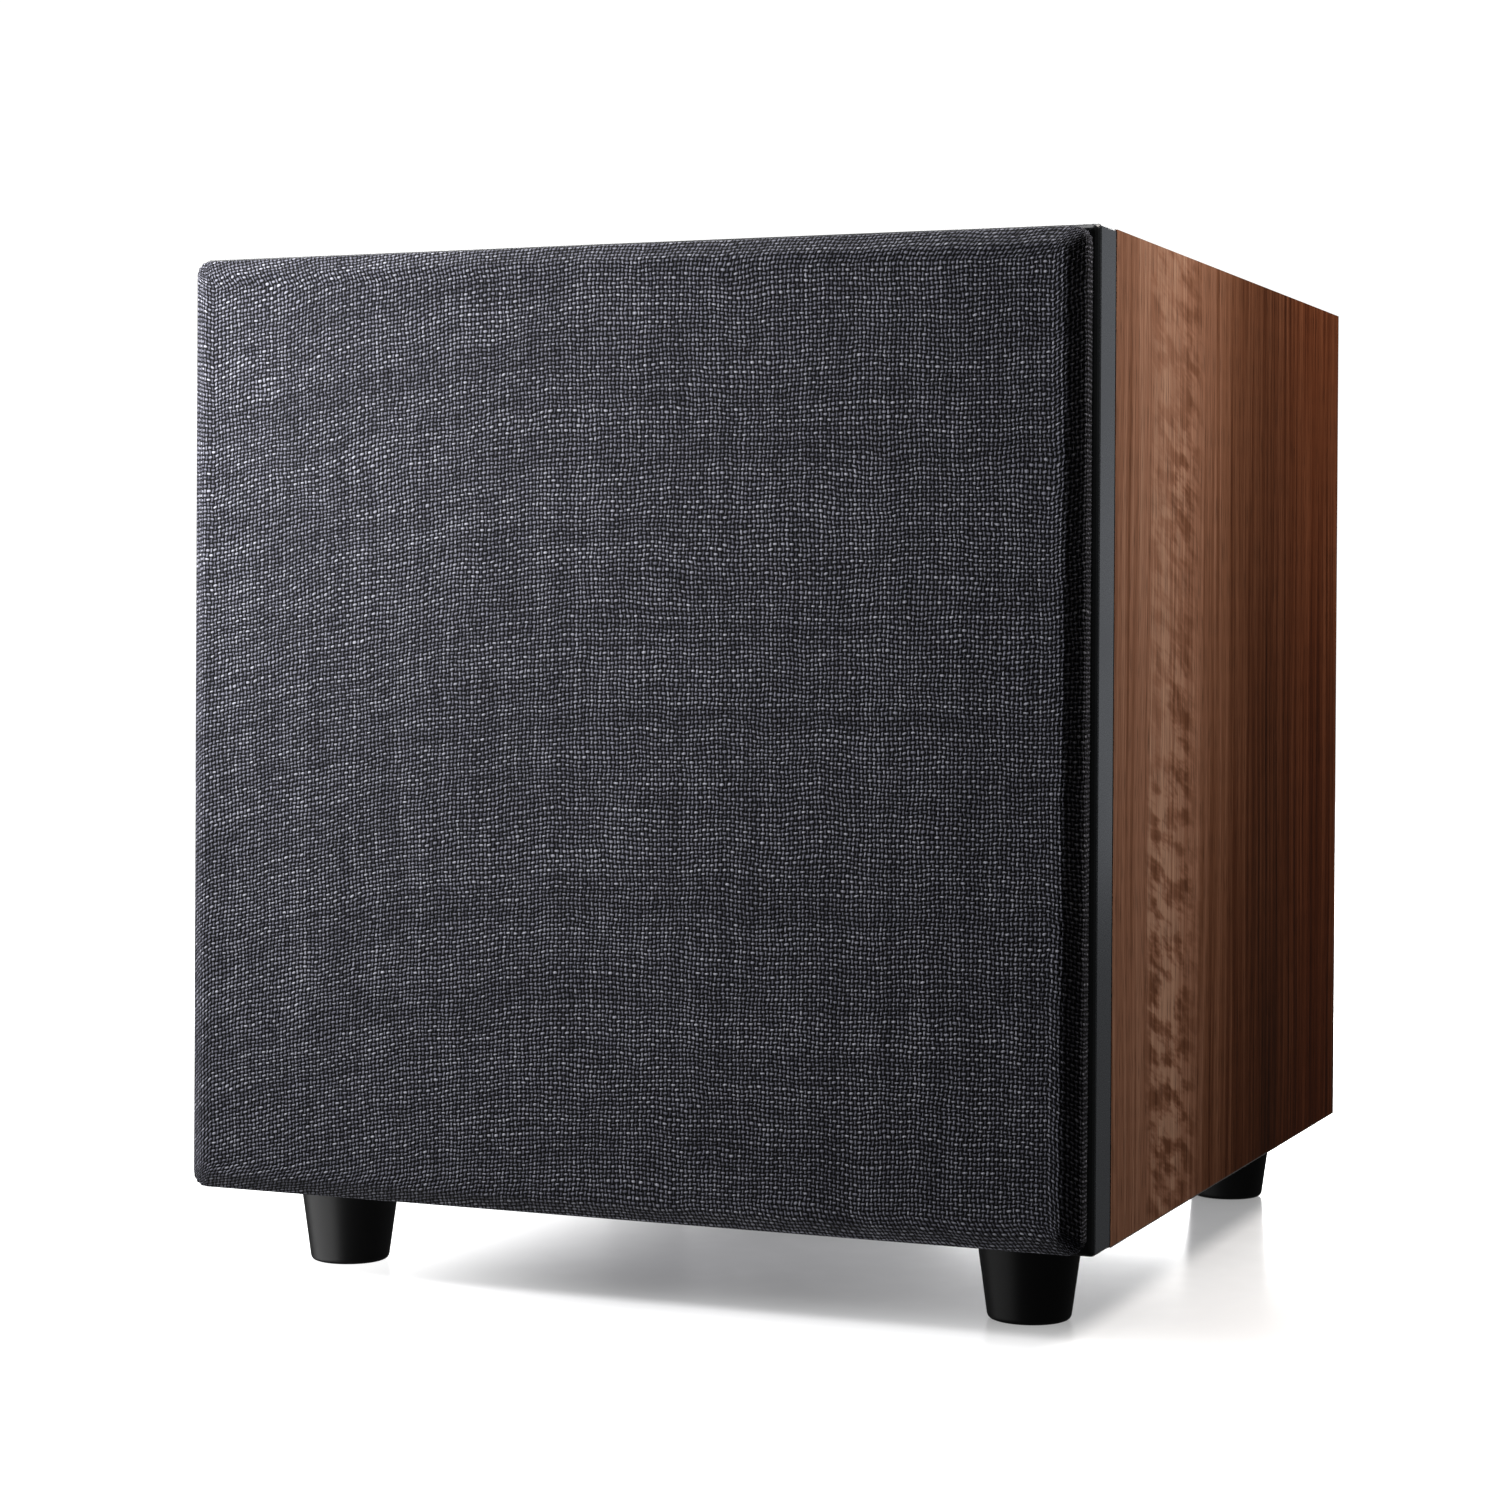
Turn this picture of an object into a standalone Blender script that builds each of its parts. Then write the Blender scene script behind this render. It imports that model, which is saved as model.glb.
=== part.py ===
"""Active subwoofer: a mitred walnut-veneered MDF box on four rubber feet, with a black front baffle, a
pull-off cloth grille, a front-firing 10-inch woofer, a down-firing port and a rear plate amplifier.

Frame: metres, +Z up, origin on the floor at the middle of the overall length and width. The grille faces -Y.
"""

import math

import bmesh
import bpy
from mathutils import Matrix, Vector

# ---- Driving dimensions, in metres -------------------------------------------------------------------
FIT_GAP = 0.0003  # clearance left between two pieces that touch

CABINET_SIDE = 0.330  # outer width and height of the wooden box
PANEL_THICKNESS = 0.015
PANEL_DEPTH = 0.328
MITRE_GAP = 0.00045
BACK_THICKNESS = 0.0177
FOOT_HEIGHT = 0.0305

BAFFLE_THICKNESS = 0.0196
BAFFLE_EDGE_RADIUS = 0.0036
BAFFLE_CORNER_RADIUS = 0.0004  # seen from the front, at the face; it grows over the round edge
BAFFLE_CORNER_GROWTH = 0.25  # share of the edge radius
BAFFLE_EDGE_STEPS = 5
BAFFLE_TONGUE = 0.004
SHADOW_GAP = 0.001  # dark joint between the baffle and the wood

GRILLE_DEPTH = 0.0107
GRILLE_INSET = 0.0015
GRILLE_CHAMFER_WIDTH = 0.006
GRILLE_CHAMFER_DEPTH = 0.0045
GRILLE_CORNER_RADIUS = 0.005
GRILLE_HEM = 0.010
CLOTH_THICKNESS = 0.0007
GRILLE_OPENING = 0.286
GRILLE_OPENING_RADIUS = 0.055
PEG_OFFSET = 0.146  # pegs and cups stand this far from the middle in X and Z
PEG_RADIUS = 0.003
PEG_LENGTH = 0.0105
CUP_RADIUS = 0.005
CUP_BORE_RADIUS = 0.0034
CUP_DEPTH = 0.013

# Woofer: radii from its axis, depths behind the front plane of the baffle
FLANGE_RADIUS = 0.131
FLANGE_FRONT = 0.0055
BASKET_THICKNESS = 0.0025
BASKET_NECK_RADIUS = 0.1145
LEDGE_OUTER_RADIUS = 0.084
LEDGE_INNER_RADIUS = 0.068
LEDGE_DEPTH = 0.056
SEAT_RADIUS = 0.058
SEAT_HOLE_RADIUS = 0.034
SEAT_DEPTH = 0.07875
BASKET_WINDOWS = 6
WINDOW_HALF_ANGLE = math.radians(22)
WINDOW_DEPTH = (0.020, 0.050)
WINDOW_REACH = (0.055, 0.135)  # radii that the windows' cutters span
BOLT_CIRCLE_RADIUS = 0.1255
WOOFER_SCREWS = 8
TERMINAL_SIZE = (0.022, 0.005)
TERMINAL_DEPTH = (0.026, 0.040)
TERMINAL_TOP = 0.113
SCREW_SHANK_RADIUS = 0.002
SCREW_HOLE_RADIUS = 0.0023
SCREW_END = 0.020
DRIVER_HOLE_RADIUS = 0.1175
GASKET_FRONT = 0.0016
GASKET_INNER_RADIUS = 0.119
GASKET_STEP_RADIUS = 0.122
GASKET_THICKNESS = 0.0025
SURROUND_THICKNESS = 0.0008
ROLL_OUTER_RADIUS = 0.117
ROLL_INNER_RADIUS = 0.100
ROLL_HEIGHT = 0.0075
SURROUND_LIP = 0.0045
CONE_THICKNESS = 0.0012
CONE_RIM_RADIUS = 0.0995
CONE_BEND_RADIUS = 0.094
CONE_RIM_DEPTH = 0.0063
CONE_NECK_RADIUS = 0.0264
CONE_NECK_DEPTH = 0.043
CONE_NECK_LENGTH = 0.004
CONE_CURVE = 1.25  # above 1 the cone's wall bows forward between its rim and its neck
DUST_CAP_RADIUS = 0.041
DUST_CAP_RISE = 0.012
FORMER_RADIUS = 0.0252
FORMER_THICKNESS = 0.0006
FORMER_FRONT = 0.040
FORMER_END = 0.095
WINDING_RADIUS = 0.02625
WINDING_THICKNESS = 0.0009
WINDING_LENGTH = 0.0175
SPIDER_THICKNESS = 0.001
SPIDER_INNER_RADIUS = 0.0258
SPIDER_FLAT_RADIUS = 0.0645
SPIDER_OUTER_RADIUS = 0.080
SPIDER_WAVES = 3
SPIDER_WAVE_HEIGHT = 0.0020
TOP_PLATE_RADIUS = 0.066
TOP_PLATE_BORE = 0.0273
POLE_PLATE_THICKNESS = 0.008
MAGNET_RADIUS = 0.070
MAGNET_BORE = 0.032
MAGNET_THICKNESS = 0.020
POLE_RADIUS = 0.0242
POLE_VENT_RADIUS = 0.006
YOKE_RADIUS = 0.068

# Port
PORT_FROM_WOOD = 0.196  # port axis, behind the front edge of the wood
PORT_BORE_RADIUS = 0.030
PORT_WALL = 0.0022
PORT_MOUTH_RADIUS = 0.044
PORT_FLANGE_RADIUS = 0.050
PORT_FLANGE_THICKNESS = 0.0025
PORT_FLARE_LENGTH = 0.024
PORT_COLLAR_LENGTH = 0.012
PORT_LENGTH = 0.222

# Feet
FOOT_TOP_RADIUS = 0.0182
FOOT_BOTTOM_RADIUS = 0.014
FOOT_EDGE_RADIUS = 0.0018
FOOT_SCREW_WELL_RADIUS = 0.0065
FOOT_SCREW_WELL_DEPTH = 0.014
FOOT_BORE_RADIUS = 0.0026
FOOT_X = 0.1295
FOOT_FRONT_FROM_WOOD = 0.0258
FOOT_REAR_FROM_WOOD = 0.291

# Brace and lining inside the box
BRACE_FROM_WOOD = 0.117
BRACE_THICKNESS = 0.015
BRACE_BAR = 0.018
BRACE_BORDER = 0.026
WADDING_THICKNESS = 0.020
WADDING_FROM_WOOD = (0.138, 0.254)

# Plate amplifier
AMP_WIDTH = 0.226
AMP_HEIGHT = 0.276
AMP_CORNER_RADIUS = 0.006
AMP_THICKNESS = 0.0025
AMP_GASKET = 0.0015
AMP_CUTOUT_WIDTH = 0.194
AMP_CUTOUT_HEIGHT = 0.244
HOUSING_WIDTH = 0.188
HOUSING_HEIGHT = 0.238
HOUSING_DEPTH = 0.070
HOUSING_WALL = 0.002
BOARD_WIDTH = 0.150
BOARD_HEIGHT = 0.205
BOARD_THICKNESS = 0.0016
BOARD_BEHIND_PLATE = 0.022
POT_SIZE = (0.016, 0.018)
POT_BEHIND_PLATE = 0.007
SWITCH_SIZE = (0.018, 0.008)
SWITCH_BEHIND_PLATE = 0.0055
JACK_BLOCK_SIZE = (0.038, 0.014)
JACK_BEHIND_PLATE = 0.005
SINK_SIZE = (0.040, 0.015)
SINK_HEIGHT = 0.025
SINK_Z = 0.0925
TRANSFORMER_RADIUS = 0.040
TRANSFORMER_BORE = 0.012
TRANSFORMER_HEIGHT = 0.032
CAPACITOR_RADIUS = 0.015
CAPACITOR_LENGTH = 0.034
KNOB_RADIUS = 0.011
KNOB_TOP_RADIUS = 0.0102
KNOB_HEIGHT = 0.0135
KNOB_CLEARANCE = 0.0007
KNOB_POINTER_WIDTH = 0.0012
KNOB_BORE_DEPTH = 0.010
SHAFT_RADIUS = 0.003
BUSH_RADIUS = 0.0048
BUSH_BORE_RADIUS = 0.0034
KNOB_X = 0.050
KNOB_Z = 0.082
SWITCH_X = 0.050
SWITCH_Z = 0.030
LEVER_SIDE = 0.0034
LEVER_HEIGHT = 0.0045
SWITCH_SLOT = (0.0115, 0.0044)
PHASE_TRAVEL = 0.004
JACK_X = 0.012
JACK_Z = 0.030
JACK_RADIUS = 0.00415
JACK_LENGTH = 0.0095
JACK_BASE_RADIUS = 0.0058
JACK_BASE_THICKNESS = 0.0018
JACK_HOLE_RADIUS = 0.0018
LED_RADIUS = 0.0017
LED_Z = 0.112

# Mains module: socket, rocker switch and fuse drawer on one flange
MODULE_Z = -0.078
MODULE_FLANGE = (0.046, 0.062)
MODULE_FLANGE_THICKNESS = 0.0028
MODULE_BODY = (0.030, 0.050)
MODULE_DEPTH = 0.026
INLET_SIZE = (0.024, 0.016)
INLET_DEPTH = 0.017
INLET_Z = -0.001
INLET_CORNER = 0.0045
PIN_SIZE = (0.002, 0.004)
PIN_LENGTH = 0.0135
PIN_SPREAD = 0.007
PIN_RISE = 0.003
ROCKER_WINDOW = (0.025, 0.012)
ROCKER_DEPTH = 0.012
ROCKER_Z = 0.0165
ROCKER_LENGTH = 0.0224
ROCKER_WIDTH = 0.0108
ROCKER_TILT = math.radians(7)
DRAWER_WINDOW = (0.023, 0.0084)
DRAWER_DEPTH = 0.023
DRAWER_Z = -0.0175
DRAWER_LIP = 0.0016
DRAWER_WALL = 0.0014

WIRE_RADIUS = 0.0022

# Facets round a full turn
FINE, LARGE, MEDIUM, SMALL = 64, 32, 20, 12

# Small details
CUT_PAST = 0.01  # how far a cutter reaches past what it cuts
CUT_JUST_PAST = 0.002
PORT_HOLE_GAP = 0.0008
FOOT_SCREW_DEPTH = 0.0125  # above the wood's underside
BACK_CORNER_RADIUS = 0.0005
AMP_CUTOUT_RADIUS = 0.004
GRILLE_FACE_CORNER = 0.6  # share of the outer corner radius, at the flat face
CHAMFER_SHARE = 0.4  # share of the cloth's thickness that its inner face steps at the chamfer
FRAME_CHAMFER_SHARE = 0.5
PEG_ROOT_DEPTH = 0.003
CUP_FLOOR = 0.0012
CUP_MOUTH_DEPTH = 0.0008
CUP_MOUTH_FLARE = 0.0006
BASKET_SHOULDER = (0.001, 0.013)  # step in radius, and depth, where the cup starts
BOLT_HOLE_END = 0.012
BOLT_HOLE_START = -0.005
SPIDER_FLAT_NECK = 0.002
SCREW_HEAD_HEIGHT = 0.003
SCREW_HEAD_RADIUS = 0.0042
SCREW_HEAD_CHAMFER = (0.0006, 0.0008)  # radial, axial
SCREW_SOCKET = (0.0018, 0.0016)  # radius, depth
SCREW_TIP = 0.002
FLARE_STEPS = 5
FLARE_TAPER = 0.92
WADDING_GAP = 0.0005
WADDING_BOTTOM = -0.110  # from the box's middle height
AMP_EDGE_CHAMFER = 0.0005
AMP_GASKET_INSET = 0.004
HOUSING_OUTER_RADIUS = 0.003
HOUSING_INNER_RADIUS = 0.001
BOARD_TOP_MARGIN = 0.022
BOARD_BOTTOM = -0.035
BUSH_ROOT_DEPTH = 0.003
BUSH_BORE_REACH = (0.006, 0.005)  # behind the pot's front, and past the plate
TRANSFORMER_EDGE = 0.008
TRANSFORMER_X = -0.040
TRANSFORMER_ABOVE_MODULE = 0.020
CAPACITOR_PLACE = (0.045, 0.045)
POINTER_DEPTH = 0.0008
POINTER_REACH = (0.003, 0.02)
SHAFT_BEHIND_PLATE = 0.009
LEVER_BEHIND_PLATE = 0.005
JACK_TAIL = 0.0045
LED_TAIL = 0.006
LED_DOME = ((1.0, 0.0004), (0.8, 0.0011), (0.0, 0.0015))  # share of the radius, height
MODULE_BODY_CORNER = 0.001
MODULE_FLANGE_CORNER = 0.003
ROCKER_ENDS = (-0.003, 0.0040)  # underside and top at both ends
ROCKER_KEEL = -0.0055
ROCKER_VALLEY = 0.0022
ROCKER_PIVOT_DEPTH = 0.003
DRAWER_GAP = 0.0004
DRAWER_BACK_GAP = 0.001
WIRE_BELOW_TAG = 0.0025
WIRE_BENDS = ((0.004, 0.020, 0.002), (0.022, 0.045, -0.018))  # from the tag strip: x, and steps in y and z
WIRE_BRACE = (0.040, 0.082)  # x, and height over the middle, where it passes the brace
WIRE_SAG = (0.046, 0.170, 0.086)  # x, depth behind the wood's front, height over the middle
WIRE_END = (0.040, 0.092)
WIRE_LAST_BEND = (0.042, 0.030)  # x, and distance before the housing


# ---- Places worked out from them ---------------------------------------------------------------------
GRILLE_TO_KNOB = (
    GRILLE_DEPTH + FIT_GAP + BAFFLE_THICKNESS + SHADOW_GAP + PANEL_DEPTH
    + AMP_GASKET + FIT_GAP + AMP_THICKNESS + KNOB_CLEARANCE + KNOB_HEIGHT
)
Y_GRILLE = -GRILLE_TO_KNOB / 2
Y_BAFFLE = Y_GRILLE + GRILLE_DEPTH + FIT_GAP
Y_WOOD = Y_BAFFLE + BAFFLE_THICKNESS + SHADOW_GAP
Y_REAR = Y_WOOD + PANEL_DEPTH
Y_BACK_INNER = Y_REAR - FIT_GAP - BACK_THICKNESS
Y_PLATE = Y_REAR + AMP_GASKET + FIT_GAP  # inner face of the amplifier's plate
Y_PLATE_OUTER = Y_PLATE + AMP_THICKNESS
HALF_BOX = CABINET_SIDE / 2
HALF_ROOM = HALF_BOX - PANEL_THICKNESS  # half the inside width and height
Z_MIDDLE = FOOT_HEIGHT + HALF_BOX
Z_INNER_FLOOR = FOOT_HEIGHT + PANEL_THICKNESS
FLANGE_BACK = FLANGE_FRONT + BASKET_THICKNESS
SURROUND_MIDDLE = FLANGE_FRONT - FIT_GAP - SURROUND_THICKNESS / 2
TOP_PLATE_FRONT = SEAT_DEPTH + BASKET_THICKNESS / 2 + FIT_GAP
MAGNET_FRONT = TOP_PLATE_FRONT + POLE_PLATE_THICKNESS + FIT_GAP
YOKE_FRONT = MAGNET_FRONT + MAGNET_THICKNESS + FIT_GAP
YOKE_BACK = YOKE_FRONT + POLE_PLATE_THICKNESS
HOUSING_FRONT = Y_PLATE - FIT_GAP - HOUSING_DEPTH
BOARD_BACK = Y_PLATE - BOARD_BEHIND_PLATE  # board face that looks at the plate
CORNERS = [
    ("top_left", -1, 1), ("top_right", 1, 1), ("bottom_left", -1, -1), ("bottom_right", 1, -1)
]


# ---- Materials ---------------------------------------------------------------------------------------
def material(name, colour, roughness, metallic=0.0):
    """A Principled material, made once for each name."""
    found = bpy.data.materials.get(name)
    if found:
        return found
    made = bpy.data.materials.new(name)
    made.use_nodes = True
    shader = made.node_tree.nodes["Principled BSDF"]
    shader.inputs["Base Color"].default_value = (*colour, 1.0)
    shader.inputs["Roughness"].default_value = roughness
    shader.inputs["Metallic"].default_value = metallic
    return made


def walnut():
    return material("walnut_veneer", (0.23, 0.105, 0.055), 0.42)


def mdf():
    return material("mdf", (0.42, 0.29, 0.17), 0.85)


def satin_black():
    return material("satin_black", (0.028, 0.030, 0.034), 0.38)


def black_plastic():
    return material("black_plastic", (0.02, 0.02, 0.022), 0.5)


def rubber():
    return material("rubber", (0.012, 0.012, 0.013), 0.6)


def grille_cloth_material():
    return material("grille_cloth", (0.075, 0.078, 0.10), 0.95)


def steel():
    return material("plated_steel", (0.55, 0.55, 0.56), 0.35, 1.0)


def coated_steel():
    return material("coated_steel", (0.03, 0.03, 0.032), 0.45, 0.3)


# ---- Shape tools -------------------------------------------------------------------------------------
def rounded_rectangle(width, height, radius, corner_steps=3):
    """Points round a rectangle with rounded corners, anticlockwise from the right-hand side."""
    points = []
    for quarter in range(4):
        sign_x = (1, -1, -1, 1)[quarter]
        sign_y = (1, 1, -1, -1)[quarter]
        for step in range(corner_steps + 1):
            angle = math.pi / 2 * (quarter + step / corner_steps)
            points.append(
                (
                    sign_x * (width / 2 - radius) + radius * math.cos(angle),
                    sign_y * (height / 2 - radius) + radius * math.sin(angle),
                )
            )
    return points


def loft(loops, ring=False):
    """A closed mesh through loops of equally many points: capped at both ends, or joined end to end."""
    mesh = bmesh.new()
    rings = [[mesh.verts.new(point) for point in loop] for loop in loops]
    pairs = list(zip(rings, rings[1:]))
    if ring:
        pairs.append((rings[-1], rings[0]))
    for first, second in pairs:
        for i, vertex in enumerate(first):
            j = (i + 1) % len(first)
            mesh.faces.new((vertex, first[j], second[j], second[i]))
    if not ring:
        mesh.faces.new(rings[0])
        mesh.faces.new(rings[-1])
    bmesh.ops.recalc_face_normals(mesh, faces=mesh.faces)
    return mesh


def squares(sections, corner_steps=3):
    """Loops in planes across Y, from (half size, corner radius, y) or (half x, half z, radius, y)."""
    loops = []
    for section in sections:
        half_x, half_z, radius, y = section if len(section) == 4 else (section[0], *section)
        loops.append([(x, y, z) for x, z in rounded_rectangle(2 * half_x, 2 * half_z, radius, corner_steps)])
    return loops


def prism(outline, low, high):
    """An outline in X and Z, extruded along Y."""
    return loft([[(x, y, z) for x, z in outline] for y in (low, high)])


def block(low, high):
    """A box between two corners."""
    return prism(
        [(low[0], low[2]), (high[0], low[2]), (high[0], high[2]), (low[0], high[2])], low[1], high[1]
    )


def turned(profile, steps):
    """A closed (radius, height) outline turned round the local Z axis. Points at radius 0 become poles."""
    mesh = bmesh.new()
    points = [mesh.verts.new((radius, 0, height)) for radius, height in profile]
    edges = [mesh.edges.new(pair) for pair in zip(points, points[1:])]
    if not (profile[0][0] == 0 and profile[-1][0] == 0):
        edges.append(mesh.edges.new((points[-1], points[0])))
    bmesh.ops.spin(
        mesh, geom=points + edges, axis=(0, 0, 1), cent=(0, 0, 0), steps=steps, angle=2 * math.pi
    )
    bmesh.ops.remove_doubles(mesh, verts=mesh.verts, dist=1e-6)
    bmesh.ops.recalc_face_normals(mesh, faces=mesh.faces)
    return mesh


def tube_profile(inner, outer, low, high):
    return [(inner, low), (outer, low), (outer, high), (inner, high)]


def sheet_profile(path, thickness):
    """The outline of a thin sheet whose middle follows a path of (radius, height) points."""
    sides = ([], [])
    for i, point in enumerate(path):
        before, after = Vector(path[max(i - 1, 0)]), Vector(path[min(i + 1, len(path) - 1)])
        here = Vector(point)
        first = (here - before).normalized() if i else (after - here).normalized()
        second = (after - here).normalized() if i < len(path) - 1 else first
        across = Vector((-(first + second).y, (first + second).x)).normalized()
        reach = thickness / 2 / max(0.5, across.dot(Vector((-first.y, first.x))))
        for side, sign in zip(sides, (1, -1)):
            moved = here + sign * reach * across
            side.append((max(moved.x, 0.0) if point[0] else 0.0, moved.y))
    return sides[0] + sides[1][::-1]


def combine(*meshes):
    """Several separate meshes as one, for use as a single cutter."""
    whole = bpy.data.meshes.new("cutters")
    joined = bmesh.new()
    for mesh in meshes:
        mesh.to_mesh(whole)
        joined.from_mesh(whole)
        mesh.free()
    bpy.data.meshes.remove(whole)
    return joined


def moved(mesh, offset=(0, 0, 0), matrix=None):
    if matrix is not None:
        bmesh.ops.transform(mesh, matrix=matrix, verts=mesh.verts)
    bmesh.ops.translate(mesh, vec=Vector(offset), verts=mesh.verts)
    return mesh


def add(name, mesh, surface, parent=None, location=(0, 0, 0)):
    """Makes a named object from a mesh, smooth on its round faces."""
    data = bpy.data.meshes.new(name)
    mesh.to_mesh(data)
    mesh.free()
    data.shade_smooth()
    data.set_sharp_from_angle(angle=math.radians(32))
    obj = bpy.data.objects.new(name, data)
    bpy.context.scene.collection.objects.link(obj)
    obj.location = location
    obj.parent = parent
    if surface:
        obj.data.materials.append(surface)
    return obj


def change(obj, mesh, operation="DIFFERENCE", parent=None):
    """Cuts a mesh from an object, or joins it to the object, with a Boolean modifier."""
    helper = add(f"{obj.name}_{operation.lower()}_{len(obj.modifiers)}", mesh, None, parent)
    helper.hide_render = True
    helper.display_type = "WIRE"
    modifier = obj.modifiers.new(operation.title(), "BOOLEAN")
    modifier.operation = operation
    modifier.solver = "EXACT"
    modifier.object = helper
    return obj


def axis_empty(name, location, rotation=(0, 0, 0)):
    empty = bpy.data.objects.new(name, None)
    bpy.context.scene.collection.objects.link(empty)
    empty.location = location
    empty.rotation_euler = rotation
    return empty


def round_cutter(radius, low, high, x=0, y=0, steps=SMALL):
    """A cylinder along the local Z axis."""
    return moved(turned([(0, low), (radius, low), (radius, high), (0, high)], steps), (x, y, 0))


LAY_ALONG_Y = Matrix.Rotation(-math.pi / 2, 4, "X")  # turns local +Z to +Y


def round_along_y(radius, low, high, x, z, steps=SMALL):
    """A cylinder along Y between two values of y, at x and z."""
    cylinder = turned([(0, low), (radius, low), (radius, high), (0, high)], steps)
    return moved(cylinder, (x, 0, z), LAY_ALONG_Y)


# ---- Cabinet -----------------------------------------------------------------------------------------
def wooden_panels():
    """Four mitred panels round the box. The side panels run to the corners, and the others stop short."""
    outer, inner = HALF_BOX, HALF_ROOM
    short = MITRE_GAP
    outlines = {
        "cabinet_side_right": [(outer, -outer), (outer, outer), (inner, inner), (inner, -inner)],
        "cabinet_side_left": [(-outer, outer), (-outer, -outer), (-inner, -inner), (-inner, inner)],
        "cabinet_top": [
            (outer - short, outer), (-outer + short, outer),
            (-inner + short, inner), (inner - short, inner),
        ],
        "cabinet_bottom": [
            (-outer + short, -outer), (outer - short, -outer),
            (inner - short, -inner), (-inner + short, -inner),
        ],
    }
    panels = {
        name: add(name, prism(outline, Y_WOOD, Y_REAR), walnut(), location=(0, 0, Z_MIDDLE))
        for name, outline in outlines.items()
    }
    below, above = FOOT_HEIGHT - CUT_PAST, Z_INNER_FLOOR + CUT_PAST
    port_hole = round_cutter(
        PORT_MOUTH_RADIUS + PORT_WALL + PORT_HOLE_GAP, below, above, 0, Y_WOOD + PORT_FROM_WOOD, MEDIUM
    )
    screw_holes = [
        round_cutter(FOOT_BORE_RADIUS, below, FOOT_HEIGHT + FOOT_SCREW_DEPTH, x, y, 8)
        for x, y in foot_places()
    ]
    change(panels["cabinet_bottom"], combine(port_hole, *screw_holes))


def back_panel():
    half = HALF_ROOM - FIT_GAP
    back = add(
        "cabinet_back",
        prism(rounded_rectangle(2 * half, 2 * half, BACK_CORNER_RADIUS, 1), Y_BACK_INNER, Y_REAR - FIT_GAP),
        mdf(), location=(0, 0, Z_MIDDLE),
    )
    outline = rounded_rectangle(AMP_CUTOUT_WIDTH, AMP_CUTOUT_HEIGHT, AMP_CUTOUT_RADIUS)
    hole = moved(prism(outline, Y_BACK_INNER - CUT_PAST, Y_REAR + CUT_PAST), (0, 0, Z_MIDDLE))
    change(back, hole)


def window_brace():
    """A board across the middle of the box, with four windows for the air."""
    low = Y_WOOD + BRACE_FROM_WOOD
    half = HALF_ROOM - FIT_GAP
    brace = add(
        "window_brace",
        block((-half, low, -half), (half, low + BRACE_THICKNESS, half)), mdf(), location=(0, 0, Z_MIDDLE),
    )
    window = HALF_ROOM - BRACE_BORDER - BRACE_BAR / 2
    middle = (window + BRACE_BAR) / 2
    windows = [
        moved(
            prism(rounded_rectangle(window, window, 0.02, 2), low - 0.01, low + BRACE_THICKNESS + 0.01),
            (sign_x * middle, 0, Z_MIDDLE + sign_z * middle),
        )
        for _, sign_x, sign_z in CORNERS
    ]
    change(brace, combine(*windows))


def front_baffle(woofer_axis):
    """A black board with a round front edge, a rebate and hole for the woofer, and a tongue at its back."""
    half, radius = HALF_BOX, BAFFLE_EDGE_RADIUS
    sections = []
    for step in range(BAFFLE_EDGE_STEPS + 1):
        turn = math.pi / 2 * step / BAFFLE_EDGE_STEPS
        out = radius * math.sin(turn)
        corner = BAFFLE_CORNER_RADIUS + BAFFLE_CORNER_GROWTH * out
        sections.append((half - radius + out, corner, Y_BAFFLE + radius - radius * math.cos(turn)))
    y_step = Y_BAFFLE + BAFFLE_THICKNESS
    tongue = HALF_ROOM - FIT_GAP
    sections += [(half, corner, y_step), (tongue, corner, y_step), (tongue, corner, y_step + BAFFLE_TONGUE)]
    baffle = add("front_baffle", loft(squares(sections)), satin_black(), location=(0, 0, Z_MIDDLE))
    rebate = round_cutter(FLANGE_RADIUS + FIT_GAP, -0.01, FLANGE_BACK + FIT_GAP, steps=FINE)
    hole = round_cutter(DRIVER_HOLE_RADIUS, -0.02, BAFFLE_THICKNESS + BAFFLE_TONGUE + 0.01, steps=FINE)
    change(baffle, rebate, parent=woofer_axis)
    change(baffle, hole, parent=woofer_axis)
    small = [
        round_cutter(SCREW_HOLE_RADIUS, -0.005, SCREW_END + 0.001, x, y, 8) for x, y in bolt_places()
    ]
    cup_end = CUP_DEPTH + 2 * FIT_GAP
    for _, sign_x, sign_z in CORNERS:
        x, y = sign_x * PEG_OFFSET, -sign_z * PEG_OFFSET
        small.append(round_cutter(CUP_RADIUS + FIT_GAP, -0.005, cup_end, x, y))
    change(baffle, combine(*small), parent=woofer_axis)


def foot_places():
    """(x, y) of the four feet: front left, front right, rear left, rear right."""
    return [
        (sign * FOOT_X, Y_WOOD + along)
        for along in (FOOT_FRONT_FROM_WOOD, FOOT_REAR_FROM_WOOD)
        for sign in (-1, 1)
    ]


def feet():
    """Tapered rubber feet, each with a screw well in its underside."""
    top = FOOT_HEIGHT - FIT_GAP
    edge = [
        (
            FOOT_BOTTOM_RADIUS - FOOT_EDGE_RADIUS * (1 - math.sin(math.pi / 2 * step / 3)),
            FOOT_EDGE_RADIUS * (1 - math.cos(math.pi / 2 * step / 3)),
        )
        for step in range(4)
    ]
    profile = [
        (FOOT_SCREW_WELL_RADIUS, 0.0), *edge, (FOOT_TOP_RADIUS, top), (FOOT_BORE_RADIUS, top),
        (FOOT_BORE_RADIUS, FOOT_SCREW_WELL_DEPTH), (FOOT_SCREW_WELL_RADIUS, FOOT_SCREW_WELL_DEPTH),
    ]
    names = ("foot_front_left", "foot_front_right", "foot_rear_left", "foot_rear_right")
    for name, (x, y) in zip(names, foot_places()):
        add(name, turned(profile, MEDIUM), rubber(), location=(x, y, 0))


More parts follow.
